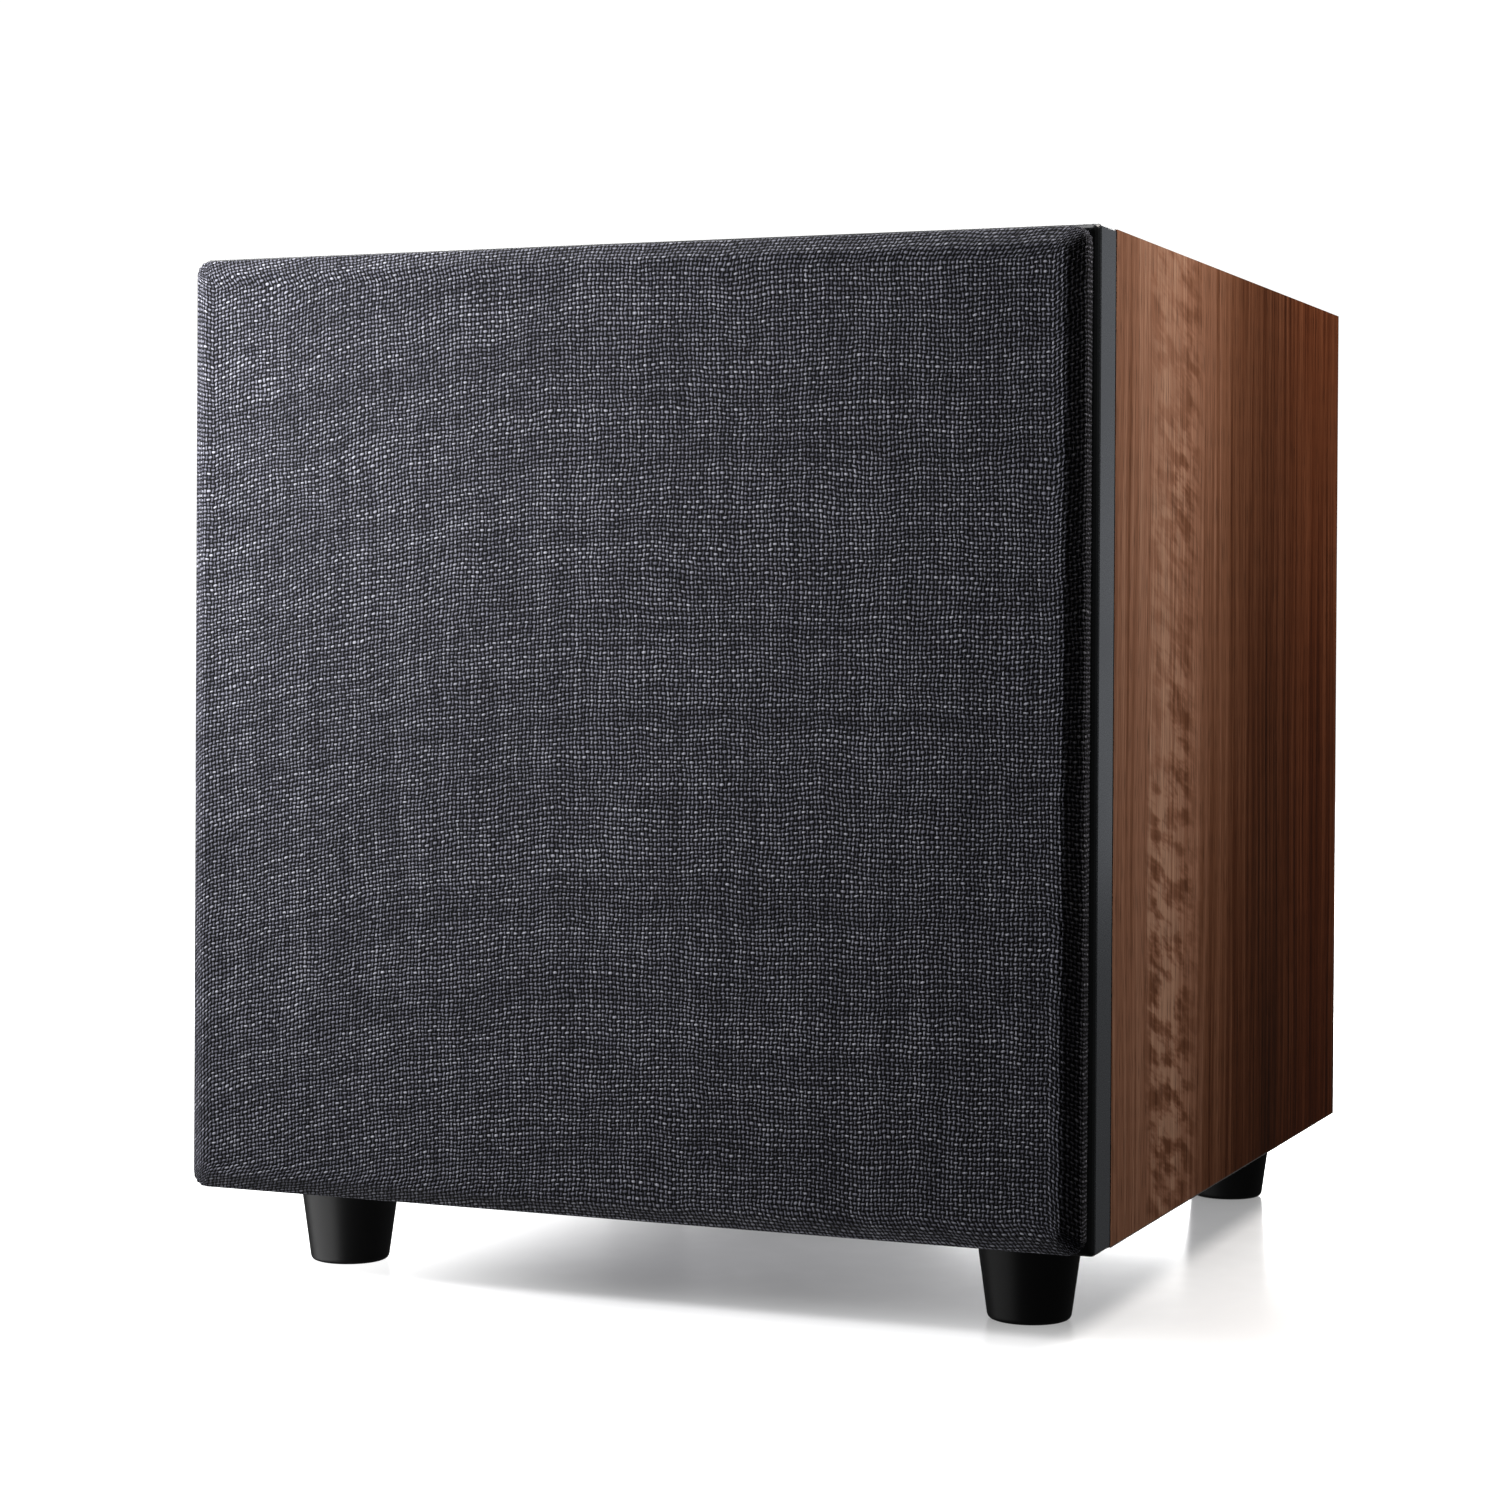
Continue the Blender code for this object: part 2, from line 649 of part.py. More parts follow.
# ---- Grille ------------------------------------------------------------------------------------------
def grille(grille_origin):
    """A frame with a chamfered edge and four pegs, and the cloth stretched over it and hemmed behind it."""
    half = HALF_BOX - GRILLE_INSET
    thick = CLOTH_THICKNESS
    face = half - GRILLE_CHAMFER_WIDTH
    corner = GRILLE_CORNER_RADIUS
    face_corner = corner * GRILLE_FACE_CORNER
    hem = half - GRILLE_HEM
    cloth = [
        (face, face_corner, 0), (half, corner, GRILLE_CHAMFER_DEPTH), (half, corner, GRILLE_DEPTH),
        (hem, face_corner, GRILLE_DEPTH), (hem, face_corner, GRILLE_DEPTH - thick),
        (half - thick, corner - thick, GRILLE_DEPTH - thick),
        (half - thick, corner - thick, GRILLE_CHAMFER_DEPTH + thick * CHAMFER_SHARE),
        (face - thick * CHAMFER_SHARE, face_corner, thick),
    ]
    add("grille_cloth", loft(squares(cloth)), grille_cloth_material(), grille_origin)

    inside = thick + FIT_GAP
    frame_back = GRILLE_DEPTH - inside
    frame = add(
        "grille_frame",
        loft(
            squares(
                [
                    (face - inside * FRAME_CHAMFER_SHARE, face_corner, inside),
                    (half - inside, corner - inside, GRILLE_CHAMFER_DEPTH + inside * FRAME_CHAMFER_SHARE),
                    (half - inside, corner - inside, frame_back),
                ]
            )
        ),
        black_plastic(), grille_origin,
    )
    outline = rounded_rectangle(GRILLE_OPENING, GRILLE_OPENING, GRILLE_OPENING_RADIUS, 6)
    change(frame, prism(outline, -CUT_PAST, GRILLE_DEPTH + CUT_PAST), parent=grille_origin)
    peg_root, peg_tip = frame_back - PEG_ROOT_DEPTH, GRILLE_DEPTH + PEG_LENGTH
    for _, sign_x, sign_z in CORNERS:
        x, z = sign_x * PEG_OFFSET, sign_z * PEG_OFFSET
        change(frame, round_along_y(PEG_RADIUS, peg_root, peg_tip, x, z), "UNION", grille_origin)


def grille_cups(woofer_axis):
    """Sockets in the baffle that hold the grille's pegs."""
    floor = CUP_DEPTH - CUP_FLOOR
    profile = [
        (0, floor), (CUP_BORE_RADIUS, floor), (CUP_BORE_RADIUS, CUP_MOUTH_DEPTH),
        (CUP_BORE_RADIUS + CUP_MOUTH_FLARE, 0),
        (CUP_RADIUS, 0), (CUP_RADIUS, CUP_DEPTH), (0, CUP_DEPTH),
    ]
    for place, sign_x, sign_z in CORNERS:
        add(
            f"grille_cup_{place}", turned(profile, SMALL), black_plastic(), woofer_axis,
            (sign_x * PEG_OFFSET, -sign_z * PEG_OFFSET, 0),
        )


# ---- Woofer: local +Z runs into the cabinet, from the front plane of the baffle ------------------------
def bolt_places():
    """(x, y) of the woofer's screws on their circle, none of them straight above the axis."""
    turn = 2 * math.pi / WOOFER_SCREWS
    return [
        (BOLT_CIRCLE_RADIUS * math.cos(turn * (i + 0.5)), BOLT_CIRCLE_RADIUS * math.sin(turn * (i + 0.5)))
        for i in range(WOOFER_SCREWS)
    ]


def bolt_holes(low, high):
    return combine(*[round_cutter(SCREW_HOLE_RADIUS, low, high, x, y, 8) for x, y in bolt_places()])


def wedge(low_radius, high_radius, low, high, half_angle, turn):
    """A cutter that widens outwards, pointing at an angle round the axis."""
    loops = []
    for radius in (low_radius, high_radius):
        reach = radius * math.tan(half_angle)
        corners = ((-reach, low), (reach, low), (reach, high), (-reach, high))
        loops.append([(radius, across, height) for across, height in corners])
    return moved(loft(loops), matrix=Matrix.Rotation(turn, 4, "Z"))


def woofer_basket(woofer_axis):
    """The pressed frame: a flange, a cup with six windows, a ledge for the spider and the magnet's seat."""
    path = [
        (FLANGE_RADIUS, FLANGE_FRONT + BASKET_THICKNESS / 2),
        (BASKET_NECK_RADIUS, FLANGE_FRONT + BASKET_THICKNESS / 2),
        (BASKET_NECK_RADIUS - BASKET_SHOULDER[0], BASKET_SHOULDER[1]),
        (LEDGE_OUTER_RADIUS, LEDGE_DEPTH),
        (LEDGE_INNER_RADIUS, LEDGE_DEPTH),
        (SEAT_RADIUS, SEAT_DEPTH),
        (SEAT_HOLE_RADIUS, SEAT_DEPTH),
    ]
    basket = add(
        "woofer_basket", turned(sheet_profile(path, BASKET_THICKNESS), LARGE), coated_steel(), woofer_axis
    )
    near, far = WINDOW_REACH
    low, high = WINDOW_DEPTH
    windows = [
        wedge(near, far, low, high, WINDOW_HALF_ANGLE, 2 * math.pi * i / BASKET_WINDOWS)
        for i in range(BASKET_WINDOWS)
    ]
    change(basket, combine(*windows), parent=woofer_axis)
    change(basket, bolt_holes(0, BOLT_HOLE_END), parent=woofer_axis)


def woofer_gasket(woofer_axis):
    """The rubber ring that covers the flange and the surround's edge."""
    outer = FLANGE_RADIUS - FIT_GAP
    back = GASKET_FRONT + GASKET_THICKNESS
    seat = FLANGE_FRONT - FIT_GAP
    profile = [
        (GASKET_INNER_RADIUS, GASKET_FRONT), (outer, GASKET_FRONT), (outer, seat),
        (GASKET_STEP_RADIUS, seat), (GASKET_STEP_RADIUS, back), (GASKET_INNER_RADIUS, back),
    ]
    gasket = add("woofer_gasket", turned(profile, LARGE), rubber(), woofer_axis)
    change(gasket, bolt_holes(BOLT_HOLE_START, BOLT_HOLE_END), parent=woofer_axis)


def woofer_surround(woofer_axis):
    """A half-roll between the basket's flange and the cone's rim."""
    middle = (ROLL_OUTER_RADIUS + ROLL_INNER_RADIUS) / 2
    reach = (ROLL_OUTER_RADIUS - ROLL_INNER_RADIUS) / 2
    roll = [
        (middle + reach * math.cos(turn), SURROUND_MIDDLE - ROLL_HEIGHT * math.sin(turn))
        for turn in (math.pi * i / 6 for i in range(7))
    ]
    path = [
        (ROLL_OUTER_RADIUS + SURROUND_LIP, SURROUND_MIDDLE), *roll,
        (ROLL_INNER_RADIUS - SURROUND_LIP, SURROUND_MIDDLE),
    ]
    add("woofer_surround", turned(sheet_profile(path, SURROUND_THICKNESS), LARGE), rubber(), woofer_axis)


def cone_depth(radius):
    """Depth of the middle of the cone's wall at a radius."""
    share = (radius - CONE_NECK_RADIUS) / (CONE_BEND_RADIUS - CONE_NECK_RADIUS)
    return CONE_RIM_DEPTH + (CONE_NECK_DEPTH - CONE_RIM_DEPTH) * (1 - share) ** CONE_CURVE


def woofer_cone(woofer_axis):
    wall = [
        CONE_BEND_RADIUS + (CONE_NECK_RADIUS - CONE_BEND_RADIUS) * i / 4 for i in range(5)
    ]
    path = [
        (CONE_RIM_RADIUS, CONE_RIM_DEPTH), *[(radius, cone_depth(radius)) for radius in wall],
        (CONE_NECK_RADIUS, CONE_NECK_DEPTH + CONE_NECK_LENGTH),
    ]
    paper = material("cone_paper", (0.03, 0.03, 0.032), 0.8)
    add("woofer_cone", turned(sheet_profile(path, CONE_THICKNESS), LARGE), paper, woofer_axis)


def woofer_dust_cap(woofer_axis):
    """A dome that closes the middle of the cone."""
    rim = cone_depth(DUST_CAP_RADIUS) - CONE_THICKNESS - 2 * FIT_GAP
    path = [
        (DUST_CAP_RADIUS * math.sin(math.pi / 2 * i / 5), rim - DUST_CAP_RISE * math.cos(math.pi / 2 * i / 5))
        for i in range(6)
    ]
    profile = sheet_profile(path, CONE_THICKNESS)
    cap = material("dust_cap", (0.025, 0.025, 0.027), 0.6)
    add("woofer_dust_cap", turned(profile, LARGE), cap, woofer_axis)


def voice_coil(woofer_axis):
    former = tube_profile(
        FORMER_RADIUS - FORMER_THICKNESS / 2, FORMER_RADIUS + FORMER_THICKNESS / 2, FORMER_FRONT, FORMER_END
    )
    aluminium = material("former_foil", (0.75, 0.75, 0.76), 0.35, 1.0)
    add("voice_coil_former", turned(former, MEDIUM), aluminium, woofer_axis)
    middle = TOP_PLATE_FRONT + POLE_PLATE_THICKNESS / 2
    winding = tube_profile(
        WINDING_RADIUS - WINDING_THICKNESS / 2, WINDING_RADIUS + WINDING_THICKNESS / 2,
        middle - WINDING_LENGTH / 2, middle + WINDING_LENGTH / 2,
    )
    copper = material("copper_wire", (0.72, 0.33, 0.16), 0.4, 1.0)
    add("voice_coil_winding", turned(winding, MEDIUM), copper, woofer_axis)


def woofer_spider(woofer_axis):
    """The corrugated cloth disc that centres the voice coil."""
    middle = LEDGE_DEPTH - BASKET_THICKNESS / 2 - FIT_GAP - SPIDER_THICKNESS / 2
    points = 4 * SPIDER_WAVES
    start = SPIDER_INNER_RADIUS + SPIDER_FLAT_NECK
    waves = [
        (
            start + (SPIDER_FLAT_RADIUS - start) * i / points,
            middle - SPIDER_WAVE_HEIGHT * math.sin(2 * math.pi * SPIDER_WAVES * i / points),
        )
        for i in range(points + 1)
    ]
    path = [(SPIDER_INNER_RADIUS, middle), *waves, (SPIDER_OUTER_RADIUS, middle)]
    cloth = material("spider_cloth", (0.62, 0.42, 0.14), 0.9)
    add("woofer_spider", turned(sheet_profile(path, SPIDER_THICKNESS), MEDIUM), cloth, woofer_axis)


def magnet_system(woofer_axis):
    plate_back = TOP_PLATE_FRONT + POLE_PLATE_THICKNESS
    plate = tube_profile(TOP_PLATE_BORE, TOP_PLATE_RADIUS, TOP_PLATE_FRONT, plate_back)
    add("magnet_top_plate", turned(plate, MEDIUM), steel(), woofer_axis)
    ferrite = material("ferrite", (0.06, 0.06, 0.062), 0.7)
    ring = tube_profile(MAGNET_BORE, MAGNET_RADIUS, MAGNET_FRONT, MAGNET_FRONT + MAGNET_THICKNESS)
    add("magnet_ring", turned(ring, MEDIUM), ferrite, woofer_axis)
    yoke = [
        (POLE_VENT_RADIUS, TOP_PLATE_FRONT), (POLE_RADIUS, TOP_PLATE_FRONT), (POLE_RADIUS, YOKE_FRONT),
        (YOKE_RADIUS, YOKE_FRONT), (YOKE_RADIUS, YOKE_BACK), (POLE_VENT_RADIUS, YOKE_BACK),
    ]
    add("magnet_yoke", turned(yoke, MEDIUM), steel(), woofer_axis)


def woofer_terminal(woofer_axis):
    """The tag strip for the voice coil's leads, on the spoke above the magnet."""
    width, height = TERMINAL_SIZE
    low, high = TERMINAL_DEPTH
    strip = block((-width / 2, -TERMINAL_TOP, low), (width / 2, -TERMINAL_TOP + height, high))
    add("woofer_terminal", strip, black_plastic(), woofer_axis)


def woofer_screws(woofer_axis):
    """Socket screws through the gasket and flange into the baffle."""
    seat = GASKET_FRONT - FIT_GAP
    head = seat - SCREW_HEAD_HEIGHT
    socket, floor = SCREW_SOCKET[0], head + SCREW_SOCKET[1]
    radius, (bevel, drop) = SCREW_HEAD_RADIUS, SCREW_HEAD_CHAMFER
    profile = [
        (0, floor), (socket, floor), (socket, head), (radius - bevel, head), (radius, head + drop),
        (radius, seat), (SCREW_SHANK_RADIUS, seat), (SCREW_SHANK_RADIUS, SCREW_END - SCREW_TIP),
        (0, SCREW_END),
    ]
    screw_steel = material("black_screw", (0.02, 0.02, 0.021), 0.35, 0.8)
    for number, (x, y) in enumerate(bolt_places(), 1):
        add(f"woofer_screw_{number}", turned(profile, 10), screw_steel, woofer_axis, (x, y, 0))


# ---- Port --------------------------------------------------------------------------------------------
def flare_profile(flange):
    """The wall of a flared port end whose mouth is at height 0 and whose collar takes the tube."""
    bore, wall, mouth = PORT_BORE_RADIUS, PORT_WALL, PORT_MOUTH_RADIUS
    inner = [
        (
            bore + (mouth - bore) * (1 - math.sin(math.pi / 2 * i / FLARE_STEPS)),
            PORT_FLARE_LENGTH * (1 - math.cos(math.pi / 2 * i / FLARE_STEPS)),
        )
        for i in range(FLARE_STEPS + 1)
    ]
    outer = [
        (radius + wall + FIT_GAP, height * FLARE_TAPER + PORT_FLANGE_THICKNESS)
        for radius, height in reversed(inner)
    ]
    collar_bore = bore + wall + FIT_GAP
    collar = [
        (collar_bore, PORT_FLARE_LENGTH), (collar_bore, PORT_FLARE_LENGTH + PORT_COLLAR_LENGTH),
        (collar_bore + wall, PORT_FLARE_LENGTH + PORT_COLLAR_LENGTH),
    ]
    outer[0] = (collar_bore + wall, outer[0][1])
    rim = [(PORT_FLANGE_RADIUS, PORT_FLANGE_THICKNESS), (PORT_FLANGE_RADIUS, 0)] if flange else [
        (mouth + wall, 0)
    ]
    return inner + collar + outer + rim


def port():
    """A flared mouth under the box, a tube up into it, and a second flare on the tube's upper end."""
    plastic = material("port_plastic", (0.015, 0.015, 0.016), 0.42)
    y = Y_WOOD + PORT_FROM_WOOD
    mouth = FOOT_HEIGHT - FIT_GAP - PORT_FLANGE_THICKNESS
    add("port_flare_outer", turned(flare_profile(True), MEDIUM), plastic, location=(0, y, mouth))
    tube_bottom = mouth + PORT_FLARE_LENGTH + FIT_GAP
    tube_top = mouth + PORT_LENGTH - PORT_FLARE_LENGTH - FIT_GAP
    tube = tube_profile(PORT_BORE_RADIUS, PORT_BORE_RADIUS + PORT_WALL, tube_bottom, tube_top)
    add("port_tube", turned(tube, MEDIUM), plastic, location=(0, y, 0))
    top = (0, y, mouth + PORT_LENGTH)
    upper = add("port_flare_inner", turned(flare_profile(False), MEDIUM), plastic, location=top)
    upper.rotation_euler = (math.pi, 0, 0)


def wadding():
    """A U of acoustic wadding along the top and both sides, behind the brace."""
    low, high = (Y_WOOD + along for along in WADDING_FROM_WOOD)
    half, thick = HALF_ROOM - WADDING_GAP, WADDING_THICKNESS
    bottom = WADDING_BOTTOM
    outline = [
        (-half, bottom), (-half + thick, bottom), (-half + thick, half - thick), (half - thick, half - thick),
        (half - thick, bottom), (half, bottom), (half, half), (-half, half),
    ]
    fibre = material("wadding", (0.78, 0.78, 0.75), 1.0)
    add("acoustic_wadding", prism(outline, low, high), fibre, location=(0, 0, Z_MIDDLE))


# ---- Plate amplifier ---------------------------------------------------------------------------------
def amplifier_plate(amp):
    """The steel plate with a hole for each control and socket."""
    half_x, half_z, bevel = AMP_WIDTH / 2, AMP_HEIGHT / 2, AMP_EDGE_CHAMFER
    plate = add(
        "amplifier_plate",
        loft(
            squares(
                [
                    (half_x, half_z, AMP_CORNER_RADIUS, -AMP_THICKNESS),
                    (half_x, half_z, AMP_CORNER_RADIUS, -bevel),
                    (half_x - bevel, half_z - bevel, AMP_CORNER_RADIUS - bevel, 0),
                ]
            )
        ),
        coated_steel(), amp,
    )
    low, high = -AMP_THICKNESS - CUT_JUST_PAST, CUT_JUST_PAST
    holes = [round_along_y(BUSH_RADIUS + FIT_GAP, low, high, sign * KNOB_X, KNOB_Z) for sign in (-1, 1)]
    holes += [
        round_along_y(JACK_RADIUS + FIT_GAP, low, high, sign * JACK_X, JACK_Z) for sign in (-1, 1)
    ]
    holes.append(round_along_y(LED_RADIUS + FIT_GAP, low, high, 0, LED_Z, 12))
    half_width, half_height = (side / 2 for side in SWITCH_SLOT)
    for middle in (-SWITCH_X, SWITCH_X):
        corner = (middle - half_width, low, SWITCH_Z - half_height)
        holes.append(block(corner, (middle + half_width, high, SWITCH_Z + half_height)))
    width, height = (side / 2 + FIT_GAP for side in MODULE_BODY)
    holes.append(block((-width, low, MODULE_Z - height), (width, high, MODULE_Z + height)))
    change(plate, combine(*holes), parent=amp)


def amplifier_gasket(amp):
    back = -AMP_THICKNESS - FIT_GAP
    front = back - AMP_GASKET + FIT_GAP
    step = AMP_GASKET_INSET
    outer = rounded_rectangle(AMP_WIDTH - step, AMP_HEIGHT - step, AMP_CORNER_RADIUS)
    inner = rounded_rectangle(AMP_CUTOUT_WIDTH + step, AMP_CUTOUT_HEIGHT + step, AMP_CUTOUT_RADIUS)
    turns = ((outer, front), (outer, back), (inner, back), (inner, front))
    loops = [[(x, y, z) for x, z in outline] for outline, y in turns]
    foam = material("gasket_foam", (0.03, 0.03, 0.03), 0.95)
    add("amplifier_gasket", loft(loops, ring=True), foam, amp)


def amplifier_housing(amp):
    """A sheet-metal tray behind the plate, open towards it."""
    open_end = -AMP_THICKNESS - FIT_GAP
    floor = open_end - HOUSING_DEPTH
    half_x, half_z, wall = HOUSING_WIDTH / 2, HOUSING_HEIGHT / 2, HOUSING_WALL
    tray = loft(
        squares(
            [
                (half_x, half_z, HOUSING_OUTER_RADIUS, floor),
                (half_x, half_z, HOUSING_OUTER_RADIUS, open_end),
                (half_x - wall, half_z - wall, HOUSING_INNER_RADIUS, open_end),
                (half_x - wall, half_z - wall, HOUSING_INNER_RADIUS, floor + wall),
            ],
            1,
        )
    )
    add("amplifier_housing", tray, coated_steel(), amp)


def circuit_board(amp):
    """The board, with the blocks soldered to it: pots with their bushes, slide switches, and a heat sink."""
    face = -AMP_THICKNESS - BOARD_BEHIND_PLATE
    green = material("circuit_board", (0.02, 0.12, 0.05), 0.5)
    top = AMP_HEIGHT / 2 - BOARD_TOP_MARGIN
    board = add(
        "circuit_board",
        block((-BOARD_WIDTH / 2, face - BOARD_THICKNESS, BOARD_BOTTOM), (BOARD_WIDTH / 2, face, top)),
        green, amp,
    )
    sunk = face - BOARD_THICKNESS / 2
    pot_front = -AMP_THICKNESS - POT_BEHIND_PLATE

    def solder(size, depths, x, z):
        low, high = depths
        part = block((x - size[0] / 2, low, z - size[1] / 2), (x + size[0] / 2, high, z + size[1] / 2))
        change(board, part, "UNION", amp)

    for sign in (-1, 1):
        solder(POT_SIZE, (sunk, pot_front), sign * KNOB_X, KNOB_Z)
        bush = round_along_y(BUSH_RADIUS, pot_front - BUSH_ROOT_DEPTH, 0, sign * KNOB_X, KNOB_Z)
        change(board, bush, "UNION", amp)
        solder(SWITCH_SIZE, (sunk, -AMP_THICKNESS - SWITCH_BEHIND_PLATE), sign * SWITCH_X, SWITCH_Z)
    solder(JACK_BLOCK_SIZE, (sunk, -AMP_THICKNESS - JACK_BEHIND_PLATE), 0, JACK_Z)
    solder(SINK_SIZE, (face - BOARD_THICKNESS - SINK_HEIGHT, sunk), 0, SINK_Z)
    bores = [
        round_along_y(
            BUSH_BORE_RADIUS, pot_front - BUSH_BORE_REACH[0], BUSH_BORE_REACH[1], sign * KNOB_X, KNOB_Z
        )
        for sign in (-1, 1)
    ]
    change(board, combine(*bores), parent=amp)


def power_supply(amp):
    """A toroidal transformer on the floor of the housing, and a reservoir capacitor on the board."""
    floor = -AMP_THICKNESS - FIT_GAP - HOUSING_DEPTH + HOUSING_WALL + FIT_GAP
    round_edge = TRANSFORMER_EDGE
    outer, inner, height = TRANSFORMER_RADIUS, TRANSFORMER_BORE, TRANSFORMER_HEIGHT
    profile = [
        (inner, round_edge / 2), (inner + round_edge / 2, 0), (outer - round_edge, 0), (outer, round_edge),
        (outer, height - round_edge), (outer - round_edge, height), (inner + round_edge / 2, height),
        (inner, height - round_edge / 2),
    ]
    tape = material("transformer_tape", (0.55, 0.42, 0.08), 0.5)
    place = (TRANSFORMER_X, floor, MODULE_Z + TRANSFORMER_ABOVE_MODULE)
    coil = moved(turned(profile, MEDIUM), place, LAY_ALONG_Y)
    add("transformer", coil, tape, amp)
    base = -AMP_THICKNESS - BOARD_BEHIND_PLATE - BOARD_THICKNESS - FIT_GAP
    sleeve = material("capacitor_sleeve", (0.02, 0.03, 0.10), 0.3)
    can = round_along_y(CAPACITOR_RADIUS, base - CAPACITOR_LENGTH, base, *CAPACITOR_PLACE, 20)
    add("reservoir_capacitor", can, sleeve, amp)


def control_knob(name, sign, amp):
    """A plain knob with a pointer groove, and the pot's shaft inside it."""
    base = KNOB_CLEARANCE
    bore = SHAFT_RADIUS + FIT_GAP
    profile = [
        (0, base + KNOB_BORE_DEPTH), (bore, base + KNOB_BORE_DEPTH), (bore, base), (KNOB_RADIUS, base),
        (KNOB_TOP_RADIUS, base + KNOB_HEIGHT - 0.001), (KNOB_TOP_RADIUS - 0.001, base + KNOB_HEIGHT),
        (0, base + KNOB_HEIGHT),
    ]
    place = (sign * KNOB_X, 0, KNOB_Z)
    knob = add(f"{name}_knob", moved(turned(profile, 24), matrix=LAY_ALONG_Y), black_plastic(), amp, place)
    top = base + KNOB_HEIGHT
    groove = block(
        (sign * KNOB_X - KNOB_POINTER_WIDTH / 2, top - POINTER_DEPTH, KNOB_Z + POINTER_REACH[0]),
        (sign * KNOB_X + KNOB_POINTER_WIDTH / 2, top + CUT_JUST_PAST, KNOB_Z + POINTER_REACH[1]),
    )
    change(knob, groove, parent=amp)
    tail = -AMP_THICKNESS - SHAFT_BEHIND_PLATE
    shaft = round_along_y(SHAFT_RADIUS, tail, base + KNOB_BORE_DEPTH - FIT_GAP, 0, 0)
    add(f"{name}_shaft", shaft, steel(), amp, place)


def slide_lever(name, x, amp):
    """The lever of a slide switch, standing out through its slot."""
    half = LEVER_SIDE / 2
    inner = -AMP_THICKNESS - LEVER_BEHIND_PLATE
    lever = block((x - half, inner, SWITCH_Z - half), (x + half, LEVER_HEIGHT, SWITCH_Z + half))
    add(name, lever, black_plastic(), amp)


def input_jack(name, x, colour, amp):
    """A phono socket: a sleeve with a pin hole, its base ring on the plate, and its tail to the board."""
    tail = -AMP_THICKNESS - JACK_TAIL
    base = FIT_GAP
    profile = [
        (0, tail), (JACK_RADIUS, tail), (JACK_RADIUS, base), (JACK_BASE_RADIUS, base),
        (JACK_BASE_RADIUS, base + JACK_BASE_THICKNESS), (JACK_RADIUS, base + JACK_BASE_THICKNESS),
        (JACK_RADIUS, base + JACK_LENGTH), (JACK_HOLE_RADIUS, base + JACK_LENGTH), (JACK_HOLE_RADIUS, base),
        (0, base),
    ]
    socket = moved(turned(profile, 20), (x, 0, JACK_Z), LAY_ALONG_Y)
    add(name, socket, material(f"{name}_ring", colour, 0.4), amp)


def status_light(amp):
    dome = [(LED_RADIUS * share, height) for share, height in LED_DOME]
    profile = [(0, -LED_TAIL), (LED_RADIUS, -LED_TAIL), *dome]
    lens = material("status_lens", (0.1, 0.5, 0.15), 0.2)
    add("status_light", moved(turned(profile, 12), (0, 0, LED_Z), LAY_ALONG_Y), lens, amp)


def inlet_outline():
    """The socket's mouth: a rectangle with its two upper corners cut off."""
    half_x, half_z = INLET_SIZE[0] / 2, INLET_SIZE[1] / 2
    return [
        (-half_x, -half_z), (half_x, -half_z),
        (half_x, half_z - INLET_CORNER), (half_x - INLET_CORNER, half_z),
        (-half_x + INLET_CORNER, half_z), (-half_x, half_z - INLET_CORNER),
    ]


def mains_module(amp):
    """The flange and body with the mains socket's three pins, the rocker's window and the drawer's slot."""
    face = FIT_GAP + MODULE_FLANGE_THICKNESS
    half_x, half_z = MODULE_FLANGE[0] / 2, MODULE_FLANGE[1] / 2
    body_x, body_z = MODULE_BODY[0] / 2, MODULE_BODY[1] / 2
    module = add(
        "mains_inlet",
        moved(
            loft(
                squares(
                    [
                        (body_x, body_z, MODULE_BODY_CORNER, face - MODULE_DEPTH),
                        (body_x, body_z, MODULE_BODY_CORNER, FIT_GAP),
                        (half_x, half_z, MODULE_FLANGE_CORNER, FIT_GAP),
                        (half_x, half_z, MODULE_FLANGE_CORNER, face),
                    ],
                    2,
                )
            ),
            (0, 0, MODULE_Z),
        ),
        black_plastic(), amp,
    )
    front = face + CUT_JUST_PAST
    socket = moved(prism(inlet_outline(), face - INLET_DEPTH, front), (0, 0, MODULE_Z + INLET_Z))
    pockets = [socket]
    for (width, height), depth, z in (
        (ROCKER_WINDOW, ROCKER_DEPTH, MODULE_Z + ROCKER_Z), (DRAWER_WINDOW, DRAWER_DEPTH, MODULE_Z + DRAWER_Z)
    ):
        pockets.append(block((-width / 2, face - depth, z - height / 2), (width / 2, front, z + height / 2)))
    change(module, combine(*pockets), parent=amp)
    root = face - INLET_DEPTH - CUT_JUST_PAST
    tip = face - INLET_DEPTH + PIN_LENGTH
    half_pin_x, half_pin_z = (side / 2 for side in PIN_SIZE)
    socket_z = MODULE_Z + INLET_Z
    for x, z in ((-PIN_SPREAD, -PIN_RISE), (PIN_SPREAD, -PIN_RISE), (0, PIN_RISE)):
        low = (x - half_pin_x, root, socket_z + z - half_pin_z)
        change(module, block(low, (x + half_pin_x, tip, socket_z + z + half_pin_z)), "UNION", amp)


def mains_rocker(amp):
    """A rocker with a shallow valley across its face, resting on one side of its pivot."""
    half = ROCKER_LENGTH / 2
    under, top = ROCKER_ENDS
    outline = [(-half, under), (0, ROCKER_KEEL), (half, under), (half, top), (0, ROCKER_VALLEY), (-half, top)]
    half_z = ROCKER_WIDTH / 2
    mesh = loft([[(x, y, z) for x, y in outline] for z in (-half_z, half_z)])
    moved(mesh, matrix=Matrix.Rotation(-ROCKER_TILT, 4, "Z"))
    pivot = (0, FIT_GAP + MODULE_FLANGE_THICKNESS - ROCKER_PIVOT_DEPTH, MODULE_Z + ROCKER_Z)
    add("mains_rocker", mesh, black_plastic(), amp, pivot)


